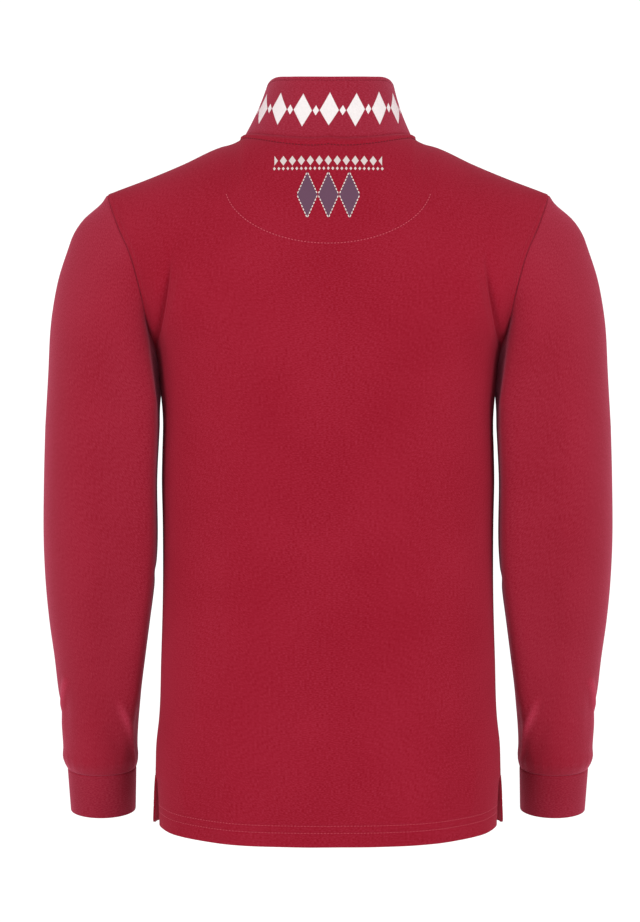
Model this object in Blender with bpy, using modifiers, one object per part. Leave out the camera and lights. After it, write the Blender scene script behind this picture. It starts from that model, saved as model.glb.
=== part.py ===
# Long-sleeve polo shirt in fine cotton jersey, in its worn, filled-out form with nobody in it.
# Metres, +Z up. The wearer's front faces -Y and the wearer's left is +X.
# The origin lies between the side neck points, where the shoulders carry the shirt.
# Each cut piece is a closed wall of cloth. All sizes below are in millimetres.
import math

import bpy
import numpy as np

MM = 0.001

# Cloth and sewing
WALL = 2.0  # cloth wall
COLLAR_WALL = 2.6  # two layers and the interlining
CUFF_WALL = 2.4
GAP = 0.3  # between two pieces at a seam

# How finely the pieces are divided
NECK_STEPS = 6  # from centre back, or centre front, to the side neck point
SHOULDER_STEPS = 7
ARMHOLE_STEPS = 12  # from the shoulder tip to the underarm point, back and front alike
BODY_STEPS = 12  # underarm to the top of the side vent
VENT_STEPS = 3
CAP_STEPS = 8  # sleeve rings from the armhole to the level of the upper arm
CUFF_STEPS = 3
COLLAR_STEPS = 5

# The figure's form, shared by back and front
SEAM_Y = -6.0  # the shoulder and side seams lie a little forward of the middle
UNDERARM_Z = -235.0
ROUNDNESS = 2.4  # exponent of the body's horizontal sections
SHOULDER_ROUND = {"back": 2.2, "front": 1.5}  # how the shoulder turns over to back and chest
NECK_HALF_WIDTH = 85.0
NECK_DEPTH = {"back": 62.0, "front": 95.0}  # from the middle plane to the seam
NECK_EXPONENT = 2.1
NECK_FLARE = 40.0  # how far the grid's lines fan out from the side of the neck
SHOULDER_TIP = (227.0, -62.0)  # x and z

# Ridge of the shoulder: distance from the centre, height
RIDGE = (
    (0.0, 20.0),
    (45.0, 12.0),
    (85.0, -2.0),
    (95.0, -7.5),
    (110.0, -13.0),
    (149.0, -30.8),
    (184.0, -45.0),
    (222.0, -59.5),
    (245.0, -69.0),
)

# Body sections: height, half width, depth of the back, depth of the front
BODY = (
    (-760.0, 177.0, 116.0, 118.0),
    (-700.0, 176.5, 114.0, 118.0),
    (-650.0, 175.4, 112.0, 117.0),
    (-626.0, 174.4, 111.0, 117.0),
    (-600.0, 172.0, 110.0, 117.0),
    (-540.0, 170.3, 109.0, 118.0),
    (-470.0, 169.2, 109.0, 121.0),
    (-400.0, 168.6, 111.0, 125.0),
    (-330.0, 168.6, 116.0, 129.0),
    (-290.0, 168.8, 119.0, 131.0),
    (-262.0, 170.0, 120.0, 131.0),
    (-235.0, 174.0, 120.0, 130.0),
    (-219.0, 179.5, 120.0, 129.0),
    (-201.0, 192.0, 120.0, 129.0),
    (-178.0, 207.5, 120.0, 129.0),
    (-151.0, 222.0, 120.0, 129.0),
    (-125.0, 228.0, 120.0, 129.0),
    (-100.0, 231.0, 120.0, 129.0),
    (-60.0, 236.0, 120.0, 129.0),
    (40.0, 246.0, 120.0, 129.0),
)

# Armhole seam as it is seen from behind: height, distance from the centre
ARMHOLE = (
    (-235.0, 174.0),
    (-219.0, 177.0),
    (-201.0, 182.5),
    (-178.0, 186.5),
    (-151.0, 193.0),
    (-125.0, 201.0),
    (-101.0, 212.0),
    (-80.0, 220.5),
    (-62.0, 227.0),
)

# Hem: share of the way from the centre to the side, height of the back's hem and the front's
HEM = (
    (0.0, -717.5, -712.0),
    (0.55, -716.0, -711.5),
    (0.80, -714.6, -711.0),
    (0.93, -712.8, -710.2),
    (1.0, -708.5, -709.0),
)
VENT_TOP = -658.0
VENT_IN = 4.6  # the back's edge stands in behind the front's at the vent
VENT_OUT = 2.6  # and the front's edge stands out

# Broad folds of the body: panel, x and height at the top, x and height at the foot,
# half width, depth (above zero stands out)
FOLDS = (
    ("back", 155.0, -128.0, 172.0, -226.0, 12.0, -3.6),
    ("back", -155.0, -128.0, -172.0, -226.0, 12.0, -3.6),
    ("back", 137.0, -140.0, 156.0, -246.0, 13.0, 3.2),
    ("back", -137.0, -140.0, -156.0, -246.0, 13.0, 3.2),
    ("back", 96.0, -560.0, 101.0, -740.0, 17.0, 2.6),
    ("back", 58.0, -590.0, 52.0, -740.0, 16.0, -2.4),
    ("back", 18.0, -600.0, 16.0, -740.0, 15.0, 2.2),
    ("back", -62.0, -585.0, -60.0, -740.0, 18.0, -2.4),
    ("back", -104.0, -550.0, -110.0, -740.0, 17.0, 2.6),
    ("front", 120.0, -150.0, 152.0, -250.0, 16.0, 3.5),
    ("front", -120.0, -150.0, -152.0, -250.0, 16.0, 3.5),
    ("front", 88.0, -540.0, 94.0, -740.0, 18.0, 3.0),
    ("front", 40.0, -570.0, 36.0, -740.0, 16.0, -2.4),
    ("front", -30.0, -560.0, -34.0, -740.0, 17.0, 2.4),
    ("front", -92.0, -530.0, -98.0, -740.0, 18.0, 3.0),
)

# Sleeve sections below the cap: height of the centre, x and y of the centre,
# half width, half depth, degrees that the forearm leans forward
SLEEVE = (
    (-300.0, 232.8, -4.0, 57.2, 61.0, 0.0),
    (-350.0, 234.3, -7.0, 56.9, 60.0, 1.0),
    (-430.0, 235.3, -14.0, 56.9, 57.0, 4.0),
    (-470.0, 236.2, -20.0, 55.3, 54.0, 6.0),
    (-500.0, 237.2, -25.0, 51.8, 50.5, 8.0),
    (-540.0, 237.6, -32.0, 46.3, 46.0, 10.0),
    (-575.0, 237.8, -38.0, 42.0, 42.0, 10.0),
    (-610.0, 238.2, -44.0, 39.0, 39.5, 10.0),
    (-634.0, 238.2, -48.5, 37.9, 38.8, 10.0),
    (-646.0, 238.0, -50.5, 38.2, 38.6, 10.0),
    (-656.0, 236.8, -52.2, 34.8, 35.2, 10.0),
)
SLEEVE_RINGS = (-335.0, -370.0, -405.0, -440.0, -472.0, -504.0, -538.0, -575.0, -610.0, -634.0, -647.0, -656.0)
CUFF_FOOT = (-701.5, 235.6, -60.0, 32.4, 33.0, 10.0)

# Outer line of the sleeve cap, from the shoulder tip down: x, height
CAP_LINE = (
    (227.0, -62.0),
    (234.0, -72.0),
    (251.0, -87.0),
    (262.5, -102.0),
    (268.0, -117.0),
    (276.0, -146.0),
    (281.5, -175.0),
    (284.6, -204.0),
    (287.0, -246.0),
    (290.0, -300.0),
)

# Collar, worn up: share of the way from centre back to the front end of its seam,
# and the upper edge's x, y and height there
COLLAR_EDGE = (
    (0.0, 0.0, 45.0, 52.0),
    (0.13, 22.0, 42.0, 53.2),
    (0.26, 40.0, 31.5, 55.6),
    (0.38, 53.5, 12.0, 57.8),
    (0.50, 59.5, -13.0, 58.0),
    (0.63, 60.5, -41.0, 50.0),
    (0.78, 57.0, -70.0, 31.0),
    (0.90, 52.0, -93.0, 10.0),
    (1.0, 45.0, -114.0, -14.0),
)

# Placket on the front
PLACKET_HALF_WIDTH = 16.0
PLACKET_ROWS = 9  # rows of the front's grid that it runs down
SLIT_HALF_WIDTH = 2.0
BUTTON_RADIUS = 5.8
BUTTON_THICK = 2.6
BUTTON_AT = (0.14, 0.47, 0.80)  # share of the placket's length


def through(knots, values, at):
    """The smooth curve through the values at the knots, read at other places."""
    knots, values, at = (np.asarray(a, float) for a in (knots, values, at))
    step = np.diff(knots)
    slope = np.diff(values) / step
    middle = (slope[:-1] * step[1:] + slope[1:] * step[:-1]) / (step[1:] + step[:-1])
    tangent = np.concatenate([[slope[0]], middle, [slope[-1]]])
    i = np.clip(np.searchsorted(knots, at, side="right") - 1, 0, len(step) - 1)
    t = np.clip((at - knots[i]) / step[i], 0.0, 1.0)
    return (
        values[i] * (2 * t**3 - 3 * t**2 + 1)
        + values[i + 1] * (3 * t**2 - 2 * t**3)
        + tangent[i] * step[i] * (t**3 - 2 * t**2 + t)
        + tangent[i + 1] * step[i] * (t**3 - t**2)
    )


def column(table, name, at, key=0):
    rows = np.array(table, float)
    return through(rows[:, key], rows[:, name], at)


def spaced(points, count):
    """The same line again, as count + 1 points evenly spaced along it."""
    along = np.concatenate([[0.0], np.cumsum(np.linalg.norm(np.diff(points, axis=0), axis=1))])
    at = np.linspace(0.0, along[-1], count + 1)
    return np.stack([np.interp(at, along, points[:, k]) for k in range(points.shape[1])], axis=1)


def unit(v):
    return v / np.maximum(np.linalg.norm(v, axis=-1, keepdims=True), 1e-12)


def body_point(x, z, q, side):
    """The figure's surface at x and height z; q runs from 0 at underarm level to 1 on the ridge."""
    sign = 1.0 if side == "back" else -1.0
    deep = column(BODY, 2 if side == "back" else 3, np.minimum(z, UNDERARM_Z)) - sign * SEAM_Y
    across = 1.0 - np.clip(np.abs(x) / column(BODY, 1, z), 0.0, 1.0) ** ROUNDNESS
    over = 1.0 - np.clip(q, 0.0, 1.0) ** SHOULDER_ROUND[side]
    y = SEAM_Y + sign * deep * (across * over) ** (1.0 / ROUNDNESS)
    return np.stack([x, y, z], axis=-1)


def neck_arc(side, grow=0.0):
    """Half of the neck seam, from the centre to the side neck point, with its q. grow gives a
    ring that much further out on the shoulders."""
    turn = np.linspace(0.0, math.pi / 2, 200)
    sign = 1.0 if side == "back" else -1.0
    deep = NECK_DEPTH[side] + grow - sign * SEAM_Y
    x = (NECK_HALF_WIDTH + grow) * np.sin(turn) ** (2 / NECK_EXPONENT)
    y = deep * np.clip(np.cos(turn), 0.0, 1.0) ** (2 / NECK_EXPONENT)
    full = column(BODY, 2 if side == "back" else 3, UNDERARM_Z) - sign * SEAM_Y
    z = np.zeros_like(x)
    for _ in range(6):
        across = 1.0 - (x / column(BODY, 1, z)) ** ROUNDNESS
        q = np.clip(1.0 - (y / full) ** ROUNDNESS / across, 0.0, 1.0) ** (1 / SHOULDER_ROUND[side])
        z = UNDERARM_Z + q * (column(RIDGE, 1, x) - UNDERARM_Z)
    return spaced(np.stack([x, y, z, q], axis=1), NECK_STEPS)


def edge_of_section(z, side, shares):
    """x as shares of the half width, evenly spaced round one quarter of the section."""
    turn = np.linspace(0.0, math.pi / 2, 400)
    width = float(column(BODY, 1, z))
    x = width * np.sin(turn) ** (2 / ROUNDNESS)
    line = body_point(x, np.full_like(x, z), np.zeros_like(x), side)
    along = np.concatenate([[0.0], np.cumsum(np.linalg.norm(np.diff(line, axis=0), axis=1))])
    return np.interp(shares * along[-1], along, x / width)


def fold_push(points, side):
    """How far the broad folds push each point along its normal."""
    push = np.zeros(points.shape[:-1])
    for panel, x0, z0, x1, z1, wide, deep in FOLDS:
        if panel != side:
            continue
        line = np.array([x1 - x0, z1 - z0])
        rel = points[..., [0, 2]] - np.array([x0, z0])
        along = np.clip((rel @ line) / (line @ line), 0.0, 1.0)
        away = np.linalg.norm(rel - along[..., None] * line, axis=-1)
        ends = np.sin(math.pi * np.clip(along * 0.86 + 0.07, 0.0, 1.0)) if z1 > -700 else along**0.7
        push += deep * ends * np.exp(-((away / wide) ** 2))
    return push


def half_panel(side):
    """One half of the back or front, centre to side, neck and shoulder to hem, seen as rows of points."""
    steps = NECK_STEPS + SHOULDER_STEPS
    shares = np.linspace(0.0, 1.0, steps + 1)
    neck = neck_arc(side)
    ridge_x = np.linspace(NECK_HALF_WIDTH, SHOULDER_TIP[0], SHOULDER_STEPS + 1)[1:]
    top_x = np.concatenate([neck[:, 0], ridge_x])
    top_q = np.concatenate([neck[:, 3], np.ones(SHOULDER_STEPS)])
    foot = edge_of_section(UNDERARM_Z, side, shares)
    turn = np.linspace(0.0, math.pi / 2, 240)
    fall = np.cos(turn) ** (2 / SHOULDER_ROUND[side])
    fall[-1] = 0.0
    down = 1.0 - fall
    edge_z = UNDERARM_Z + fall * (SHOULDER_TIP[1] - UNDERARM_Z)
    edge_x = column(ARMHOLE, 1, edge_z)
    flare = NECK_FLARE * np.sin(turn) ** 0.8 * np.cos(turn) ** 2
    upper = []
    for i in range(steps + 1):
        near = (i / NECK_STEPS) ** 2 if i < NECK_STEPS else (steps - i) / SHOULDER_STEPS
        x = edge_x * ((1 - down) * top_x[i] / SHOULDER_TIP[0] + down * foot[i]) + near * flare
        q = top_q[i] * fall
        z = UNDERARM_Z + q * (column(RIDGE, 1, x) - UNDERARM_Z)
        if i == steps:
            z = edge_z
            q = np.clip((z - UNDERARM_Z) / (column(RIDGE, 1, x) - UNDERARM_Z), 0.0, 1.0)
            q[0] = 1.0
        upper.append(spaced(body_point(x, z, q, side), ARMHOLE_STEPS))
    upper = np.stack(upper, axis=1)
    hem = column(HEM, 1 if side == "back" else 2, shares)
    levels = np.concatenate(
        [
            np.linspace(0.0, 1.0, BODY_STEPS + 1)[1:],
            1.0 + np.linspace(0.0, 1.0, VENT_STEPS + 1)[1:],
        ]
    )
    lower = []
    for level in levels:
        if level <= 1.0:
            z = UNDERARM_Z + level * (VENT_TOP - UNDERARM_Z) + 0 * shares
        else:
            z = VENT_TOP + (level - 1.0) * (hem - VENT_TOP)
        x = edge_of_section(z[-1], side, shares) * column(BODY, 1, z)
        lower.append(body_point(x, z, 0 * x, side))
    return np.concatenate([upper, np.stack(lower)])


def open_vent(points, side):
    """Below the vent's top the two panels part: the back's edge goes in, the front's goes out."""
    below = np.clip((VENT_TOP - points[..., 2]) / 50.0, 0.0, 1.0) ** 0.4
    width = column(BODY, 1, points[..., 2])
    near = np.clip((np.abs(points[..., 0]) - 0.86 * width) / (0.14 * width), 0.0, 1.0) ** 1.5
    amount = below * near
    out = -VENT_IN if side == "back" else VENT_OUT
    points[..., 0] += np.sign(points[..., 0]) * out * amount
    points[..., 1] += (1.5 if side == "back" else -1.0) * amount
    return points


def normals(points, closed=False):
    """Unit normals of a grid of points, from the rows above and below and the columns either side."""
    rows = np.gradient(points, axis=0)
    if closed:
        cols = np.roll(points, -1, axis=1) - np.roll(points, 1, axis=1)
    else:
        cols = np.gradient(points, axis=1)
    return unit(np.cross(rows, cols))


def seam_normals(seam, one, other, out, closed=False):
    """Normals that two pieces share along a seam, so that their edges stand face to face, and
    the direction from the one piece to the other across the seam. one and other are points of
    the pieces beside the seam."""
    if closed:
        tangent = unit(np.roll(seam, -1, axis=0) - np.roll(seam, 1, axis=0))
    else:
        tangent = unit(np.gradient(seam, axis=0))

    def square(points):
        away = points - seam
        return unit(away - (away * tangent).sum(-1, keepdims=True) * tangent)

    n = unit(np.cross(tangent, square(one) - square(other)))
    n *= np.where((n * out).sum(-1, keepdims=True) < 0, -1.0, 1.0)
    over = unit(np.cross(n, tangent))
    return n, over * np.where((over * (other - one)).sum(-1, keepdims=True) < 0, -1.0, 1.0)


def pull_in(points, edge, amount=GAP / 2):
    """Moves one edge of a grid towards its next row or column, by half the seam's gap."""
    near = {"top": (0, 1), "foot": (-1, -2)}.get(edge)
    if near:
        a, b = near
        points[a] += unit(points[b] - points[a]) * amount
    else:
        a, b = {"first": (0, 1), "last": (-1, -2)}[edge]
        points[:, a] += unit(points[:, b] - points[:, a]) * amount


def material(name, colour, roughness):
    mat = bpy.data.materials.new(name)
    mat.use_nodes = True
    shader = mat.node_tree.nodes["Principled BSDF"]
    shader.inputs["Base Color"].default_value = (*colour, 1.0)
    shader.inputs["Roughness"].default_value = roughness
    shader.inputs["Metallic"].default_value = 0.0
    return mat


def wall(name, points, facing, thick, mat, closed=False, keep=None):
    """A closed wall of cloth: outer and inner faces half the thickness either side of the points,
    and a rim round every open edge. keep says which cells of the grid are cloth."""
    rows, cols = points.shape[:2]
    wide = cols if closed else cols - 1
    if keep is None:
        keep = np.ones((rows - 1, wide), bool)
    half = facing * thick / 2
    verts = np.concatenate([(points + half).reshape(-1, 3), (points - half).reshape(-1, 3)]) * MM
    count = rows * cols
    i, j = rows // 2, cols // 2
    one_way = np.cross(points[i, (j + 1) % cols] - points[i, j], points[i + 1, j] - points[i, j])
    flip = np.dot(one_way, facing[i, j]) < 0
    faces = []
    edges = {}
    for r in range(rows - 1):
        for k in range(wide):
            if not keep[r, k]:
                continue
            n = (k + 1) % cols
            quad = [r * cols + k, r * cols + n, (r + 1) * cols + n, (r + 1) * cols + k]
            if flip:
                quad.reverse()
            faces.append(quad)
            faces.append([count + v for v in reversed(quad)])
            for i in range(4):
                one, two = quad[i], quad[(i + 1) % 4]
                edges[(one, two)] = True
    # Two pieces that share a seam split its rim the same way, so their edges stay face to face.
    rank = points.reshape(-1, 3) @ np.array([0.0017, 0.013, 1.0])
    for one, two in edges:
        if (two, one) in edges:
            continue
        if rank[one] > rank[two]:
            faces += [[two, one, count + two], [one, count + one, count + two]]
        else:
            faces += [[two, one, count + one], [two, count + one, count + two]]
    mesh = bpy.data.meshes.new(name)
    mesh.from_pydata([tuple(v) for v in verts], [], faces)
    mesh.validate()
    used = {v for f in faces for v in f}
    if len(used) < len(verts):
        import bmesh

        bm = bmesh.new()
        bm.from_mesh(mesh)
        bmesh.ops.delete(bm, geom=[v for v in bm.verts if not v.link_faces], context="VERTS")
        bm.to_mesh(mesh)
        bm.free()
    mesh.shade_smooth()
    mesh.set_sharp_from_angle(angle=math.radians(50))
    ob = bpy.data.objects.new(name, mesh)
    ob.data.materials.append(mat)
    shirt.objects.link(ob)
    return ob


for old in list(bpy.data.objects):
    bpy.data.objects.remove(old, do_unlink=True)
shirt = bpy.data.collections.new("long_sleeve_polo_shirt")
bpy.context.scene.collection.children.link(shirt)
jersey = material("cherry jersey", (0.35, 0.014, 0.034), 0.9)
sleeve_jersey = material("cherry jersey of the sleeves", (0.34, 0.016, 0.038), 0.9)
collar_cloth = material("collar cloth", (0.33, 0.016, 0.036), 0.85)
cuff_rib = material("cuff cloth", (0.29, 0.016, 0.036), 0.9)
placket_cloth = material("placket cloth", (0.33, 0.014, 0.034), 0.88)
button_plastic = material("button plastic", (0.28, 0.02, 0.04), 0.4)

# Back and front: whole panels from the right side, through the centre, to the left side.
# The front has two close columns beside its centre, for the slit under the placket.
panel = {}
for side in ("back", "front"):
    left = half_panel(side)
    if side == "front":
        near = left[:, 1] - left[:, 0]
        slit = left[:, 0] + near * (SLIT_HALF_WIDTH / np.maximum(near[:, :1], 1e-6))
        left = np.concatenate([slit[:, None], left[:, 1:]], axis=1)
        right = left[:, ::-1] * np.array([-1.0, 1.0, 1.0])
        grid = np.concatenate([right, left], axis=1)
    else:
        right = left[:, :0:-1] * np.array([-1.0, 1.0, 1.0])
        grid = np.concatenate([right, left], axis=1)
    grid = open_vent(grid, side)
    facing = normals(grid)
    middle = grid.shape[1] // 2
    if facing[6, middle, 1] * (1 if side == "back" else -1) < 0:
        facing = -facing
    inside = np.ones(grid.shape[:2])
    inside[:, [0, -1]] = 0.0
    inside[0] = 0.0
    panel[side] = grid + facing * (fold_push(grid, side) * inside)[..., None]

half = NECK_STEPS + SHOULDER_STEPS
out_of = {}
for side in ("back", "front"):
    facing = normals(panel[side])
    middle = panel[side].shape[1] // 2
    if facing[6, middle, 1] * (1 if side == "back" else -1) < 0:
        facing = -facing
    out_of[side] = facing


def armhole_ring(hand):
    """The armhole seam of one hand (+1 left, -1 right): shoulder tip, back, underarm, front."""
    at = -1 if hand > 0 else 0
    back = panel["back"][: ARMHOLE_STEPS + 1, at]
    front = panel["front"][: ARMHOLE_STEPS + 1, at]
    return np.concatenate([back, front[-2:0:-1]])


def sleeve_grid(hand):
    """Rings of the sleeve from the armhole to the cuff's seam; the first point of each is outermost."""
    seam = armhole_ring(hand) * np.array([hand, 1.0, 1.0])
    count = len(seam)
    turn = 2 * math.pi * np.arange(count) / count
    cos, sin = np.cos(turn), np.sin(turn)

    def ring(z, cx=None, cy=None, rx=None, ry=None, lean=None):
        if cx is None:
            cx, cy, rx, ry, lean = (column(SLEEVE[::-1], k, z) for k in range(1, 6))
        lean = math.radians(float(lean))
        return np.stack(
            [cx + rx * cos, cy + ry * sin * math.cos(lean), z - ry * sin * math.sin(lean)], axis=1
        )

    upper = ring(SLEEVE[0][0])
    chord = np.linalg.norm(upper - seam, axis=1)[:, None]
    start = unit(np.stack([0.52 + 0.32 * cos, 0.2 * sin, -(0.77 - 0.22 * cos)], axis=1)) * chord
    finish = np.array([0.0, 0.0, -1.0]) * chord * 0.9
    line = spaced(
        np.stack(
            [
                through(np.linspace(0, 1, len(CAP_LINE)), np.array(CAP_LINE)[:, k], np.linspace(0, 1, 300))
                for k in range(2)
            ],
            axis=1,
        ),
        CAP_STEPS,
    )
    rings = []
    for k in range(CAP_STEPS + 1):
        t = k / CAP_STEPS
        p = (
            seam * (2 * t**3 - 3 * t**2 + 1)
            + upper * (3 * t**2 - 2 * t**3)
            + start * (t**3 - 2 * t**2 + t)
            + finish * (t**3 - t**2)
        )
        move = np.array([line[k, 0] - p[0, 0], 0.0, line[k, 1] - p[0, 2]])
        rings.append(p + move * (np.clip(cos, 0.0, 1.0) ** 1.5)[:, None])
    for z in SLEEVE_RINGS:
        rings.append(ring(z))
    grid = np.stack(rings)
    grid[..., 0] *= hand
    cuff_top = ring(*SLEEVE[-1])
    cuff = np.stack(
        [cuff_top + (ring(*CUFF_FOOT) - cuff_top) * k / CUFF_STEPS for k in range(CUFF_STEPS + 1)]
    )
    cuff[..., 0] *= hand
    return grid, cuff


def facing_out(points, closed=True):
    facing = normals(points, closed)
    middle = points.mean(axis=1, keepdims=True)
    if ((points - middle) * facing).sum() < 0:
        facing = -facing
    return facing


# The seams of the body: shoulder, side, armhole and neck share their normals
for hand in (1, -1):
    at, beside = (-1, -2) if hand > 0 else (0, 1)
    back, front = panel["back"], panel["front"]
    # side seam, from the underarm to the top of the vent
    rows = slice(ARMHOLE_STEPS, ARMHOLE_STEPS + BODY_STEPS + 1)
    n, _ = seam_normals(
        back[rows, at], back[rows, beside], front[rows, beside], np.array([hand, 0.0, 0.0])
    )
    out_of["back"][rows, at] = n
    out_of["front"][rows, at] = n
    # shoulder seam
    cols_back = slice(-SHOULDER_STEPS - 1, None) if hand > 0 else slice(0, SHOULDER_STEPS + 1)
    n, _ = seam_normals(
        back[0, cols_back], back[1, cols_back], front[1, cols_back], np.array([0.0, 0.0, 1.0])
    )
    out_of["back"][0, cols_back] = n
    out_of["front"][0, cols_back] = n

sleeves, armhole_shift = {}, {}
for hand in (1, -1):
    at, beside = (-1, -2) if hand > 0 else (0, 1)
    grid, cuff = sleeve_grid(hand)
    facing = facing_out(grid)
    seam = armhole_ring(hand)
    inner = np.concatenate(
        [
            panel["back"][: ARMHOLE_STEPS + 1, beside],
            panel["front"][ARMHOLE_STEPS - 1 : 0 : -1, beside],
        ]
    )
    inner[0] = (panel["back"][0, beside] + panel["front"][0, beside]) / 2
    inner[ARMHOLE_STEPS] = panel["back"][ARMHOLE_STEPS + 1, at]
    n, over = seam_normals(seam, inner, grid[1], seam - seam.mean(axis=0), closed=True)
    facing[0] = n
    out_of["back"][: ARMHOLE_STEPS + 1, at] = n[: ARMHOLE_STEPS + 1]
    out_of["front"][: ARMHOLE_STEPS + 1, at] = np.concatenate(
        [n[:1], n[: ARMHOLE_STEPS - 1 : -1]]
    )
    cuff_facing = facing_out(cuff)
    share = unit(facing[-2] + cuff_facing[1])
    facing[-1] = share
    cuff_facing[0] = share
    # the seam parts across its own fold, which is sharp under the arm
    over = over * GAP / 2
    grid[0] += over
    sleeves[hand] = (grid, facing, cuff, cuff_facing)
    armhole_shift[hand] = over

# Collar: from the front's right end round the back of the neck to its left end
neck_back = panel["back"][0, SHOULDER_STEPS : SHOULDER_STEPS + 2 * NECK_STEPS + 1]
front_cols = panel["front"].shape[1]
front_left = panel["front"][0, front_cols // 2 : front_cols // 2 + NECK_STEPS + 1]
front_right = panel["front"][0, front_cols // 2 - 1 - NECK_STEPS : front_cols // 2]
base = np.concatenate([front_right[::-1], neck_back[1:-1], front_left[::-1]])
ends = len(base) // 2
share = np.abs(np.arange(len(base)) - ends) / ends
# the back neck runs over the first half of the shares and the front neck over the second
edge = np.stack([column(COLLAR_EDGE, k, share) for k in (1, 2, 3)], axis=1)
edge[:, 0] *= np.sign(base[:, 0] + 1e-9)
edge[ends, 0] = 0.0
height = np.linspace(0.0, 1.0, COLLAR_STEPS + 1)
bow = 1.6 * np.sin(math.pi * height)  # the stand is a little hollow seen from behind
collar = base + (edge - base) * height[:, None, None]
away = unit((edge + base) / 2 * np.array([1.0, 1.0, 0.0]) - np.array([0.0, -10.0, 0.0]))
collar -= away * bow[:, None, None]
collar_facing = normals(collar)
if collar_facing[2, ends, 1] < 0:
    collar_facing = -collar_facing
ring = {}
for side in ("back", "front"):
    sign = np.array([1.0, 1.0 if side == "back" else -1.0, 1.0])
    arc = neck_arc(side, 10.0)[:, :3]
    arc[:, 1] = SEAM_Y + arc[:, 1] * sign[1]
    ring[side] = arc
below = np.concatenate([ring["front"], ring["back"][-2::-1]])
below = np.concatenate([below[:-1] * np.array([-1.0, 1.0, 1.0]), below[::-1]])
n, _ = seam_normals(base, collar[1], below, away)
collar_facing[0] = n
reach = 2 * NECK_STEPS + 1
out_of["back"][0, SHOULDER_STEPS : SHOULDER_STEPS + reach] = n[NECK_STEPS : NECK_STEPS + reach]
out_of["front"][0, front_cols // 2 - 1 - NECK_STEPS : front_cols // 2] = n[: NECK_STEPS + 1][::-1]
out_of["front"][0, front_cols // 2 : front_cols // 2 + NECK_STEPS + 1] = n[-NECK_STEPS - 1 :][::-1]

# Placket: both strips come from the front's own points beside its centre, moved out and in
near = panel["front"][: PLACKET_ROWS + 1, front_cols // 2]
far = panel["front"][: PLACKET_ROWS + 1, front_cols // 2 + 1]
near_out = out_of["front"][: PLACKET_ROWS + 1, front_cols // 2]
across = np.array([-PLACKET_HALF_WIDTH, -SLIT_HALF_WIDTH, SLIT_HALF_WIDTH, PLACKET_HALF_WIDTH])
strip, strip_out = [], []
for x in across:
    along = (abs(x) - near[:, 0]) / (far[:, 0] - near[:, 0])
    p = near + (far - near) * along[:, None]
    p[:, 0] *= np.sign(x)
    strip.append(p)
    strip_out.append(near_out * np.array([np.sign(x), 1.0, 1.0]))
strip, strip_out = np.stack(strip, axis=1), np.stack(strip_out, axis=1)
lift = WALL / 2 + GAP + 0.8
placket_upper = strip + strip_out * lift
placket_under = strip - strip_out * lift

# Every seam's edges are drawn back by half the gap
for side in ("back", "front"):
    grid = panel[side]
    pull_in(grid, "top")
    rows = slice(ARMHOLE_STEPS, ARMHOLE_STEPS + BODY_STEPS + 1)
    for edge_name in ("first", "last"):
        pull_in(grid[rows], edge_name)
    for hand in (1, -1):
        over = armhole_shift[hand][: ARMHOLE_STEPS + 1]
        if side == "front":
            over = np.concatenate([over[:1], armhole_shift[hand][: ARMHOLE_STEPS - 1 : -1]])
        grid[: ARMHOLE_STEPS + 1, -1 if hand > 0 else 0] -= over
for hand in (1, -1):
    pull_in(sleeves[hand][0], "foot")
    pull_in(sleeves[hand][2], "top")
pull_in(collar, "top")
for strip_grid in (placket_upper, placket_under):
    pull_in(strip_grid, "top")

wall("back", panel["back"], out_of["back"], WALL, jersey)
cloth = np.ones((panel["front"].shape[0] - 1, front_cols - 1), bool)
cloth[: PLACKET_ROWS - 1, front_cols // 2 - 1] = False
wall("front", panel["front"], out_of["front"], WALL, jersey, keep=cloth)
for hand, label in ((1, "left"), (-1, "right")):
    grid, facing, cuff, cuff_facing = sleeves[hand]
    wall(f"sleeve_{label}", grid, facing, WALL, sleeve_jersey, closed=True)
    wall(f"cuff_{label}", cuff, cuff_facing, CUFF_WALL, cuff_rib, closed=True)
wall("collar", collar, collar_facing, COLLAR_WALL, collar_cloth)
wall("placket_upper", placket_upper, strip_out, 1.6, placket_cloth)
wall("placket_under", placket_under, strip_out, 1.6, placket_cloth)

# Buttons: a turned profile with a sunk middle, set on the upper placket
for i, share in enumerate(BUTTON_AT):
    at = share * PLACKET_ROWS
    row, part = int(at), at - int(at)
    place = (strip[row] * (1 - part) + strip[row + 1] * part).mean(axis=0)
    facing = unit((strip_out[row] * (1 - part) + strip_out[row + 1] * part).mean(axis=0))
    place = place + facing * (lift + 0.8 + GAP + 0.25)
    r, t = BUTTON_RADIUS, BUTTON_THICK
    profile = ((0, t - 0.9), (r - 1.9, t - 0.9), (r - 1.3, t), (r - 0.4, t), (r, t - 0.7), (r - 0.5, 0), (0, 0))
    mesh = bpy.data.meshes.new(f"button_{i + 1}")
    mesh.from_pydata([(x * MM, 0, z * MM) for x, z in profile], [(k, k + 1) for k in range(6)], [])
    button = bpy.data.objects.new(f"button_{i + 1}", mesh)
    mesh.materials.append(button_plastic)
    shirt.objects.link(button)
    turn = button.modifiers.new("turned", "SCREW")
    turn.steps = turn.render_steps = 24
    turn.use_merge_vertices = True
    turn.merge_threshold = 0.00001
    turn.use_normal_calculate = True
    z_axis = facing
    x_axis = np.array([1.0, 0.0, 0.0])
    y_axis = np.cross(z_axis, x_axis)
    button.rotation_euler = (math.atan2(-z_axis[1], z_axis[2]), 0.0, 0.0)
    button.location = tuple(place * MM)
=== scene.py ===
import math

import bmesh
import bpy
import numpy as np
from mathutils import Matrix, Vector
from mathutils.bvhtree import BVHTree


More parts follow.
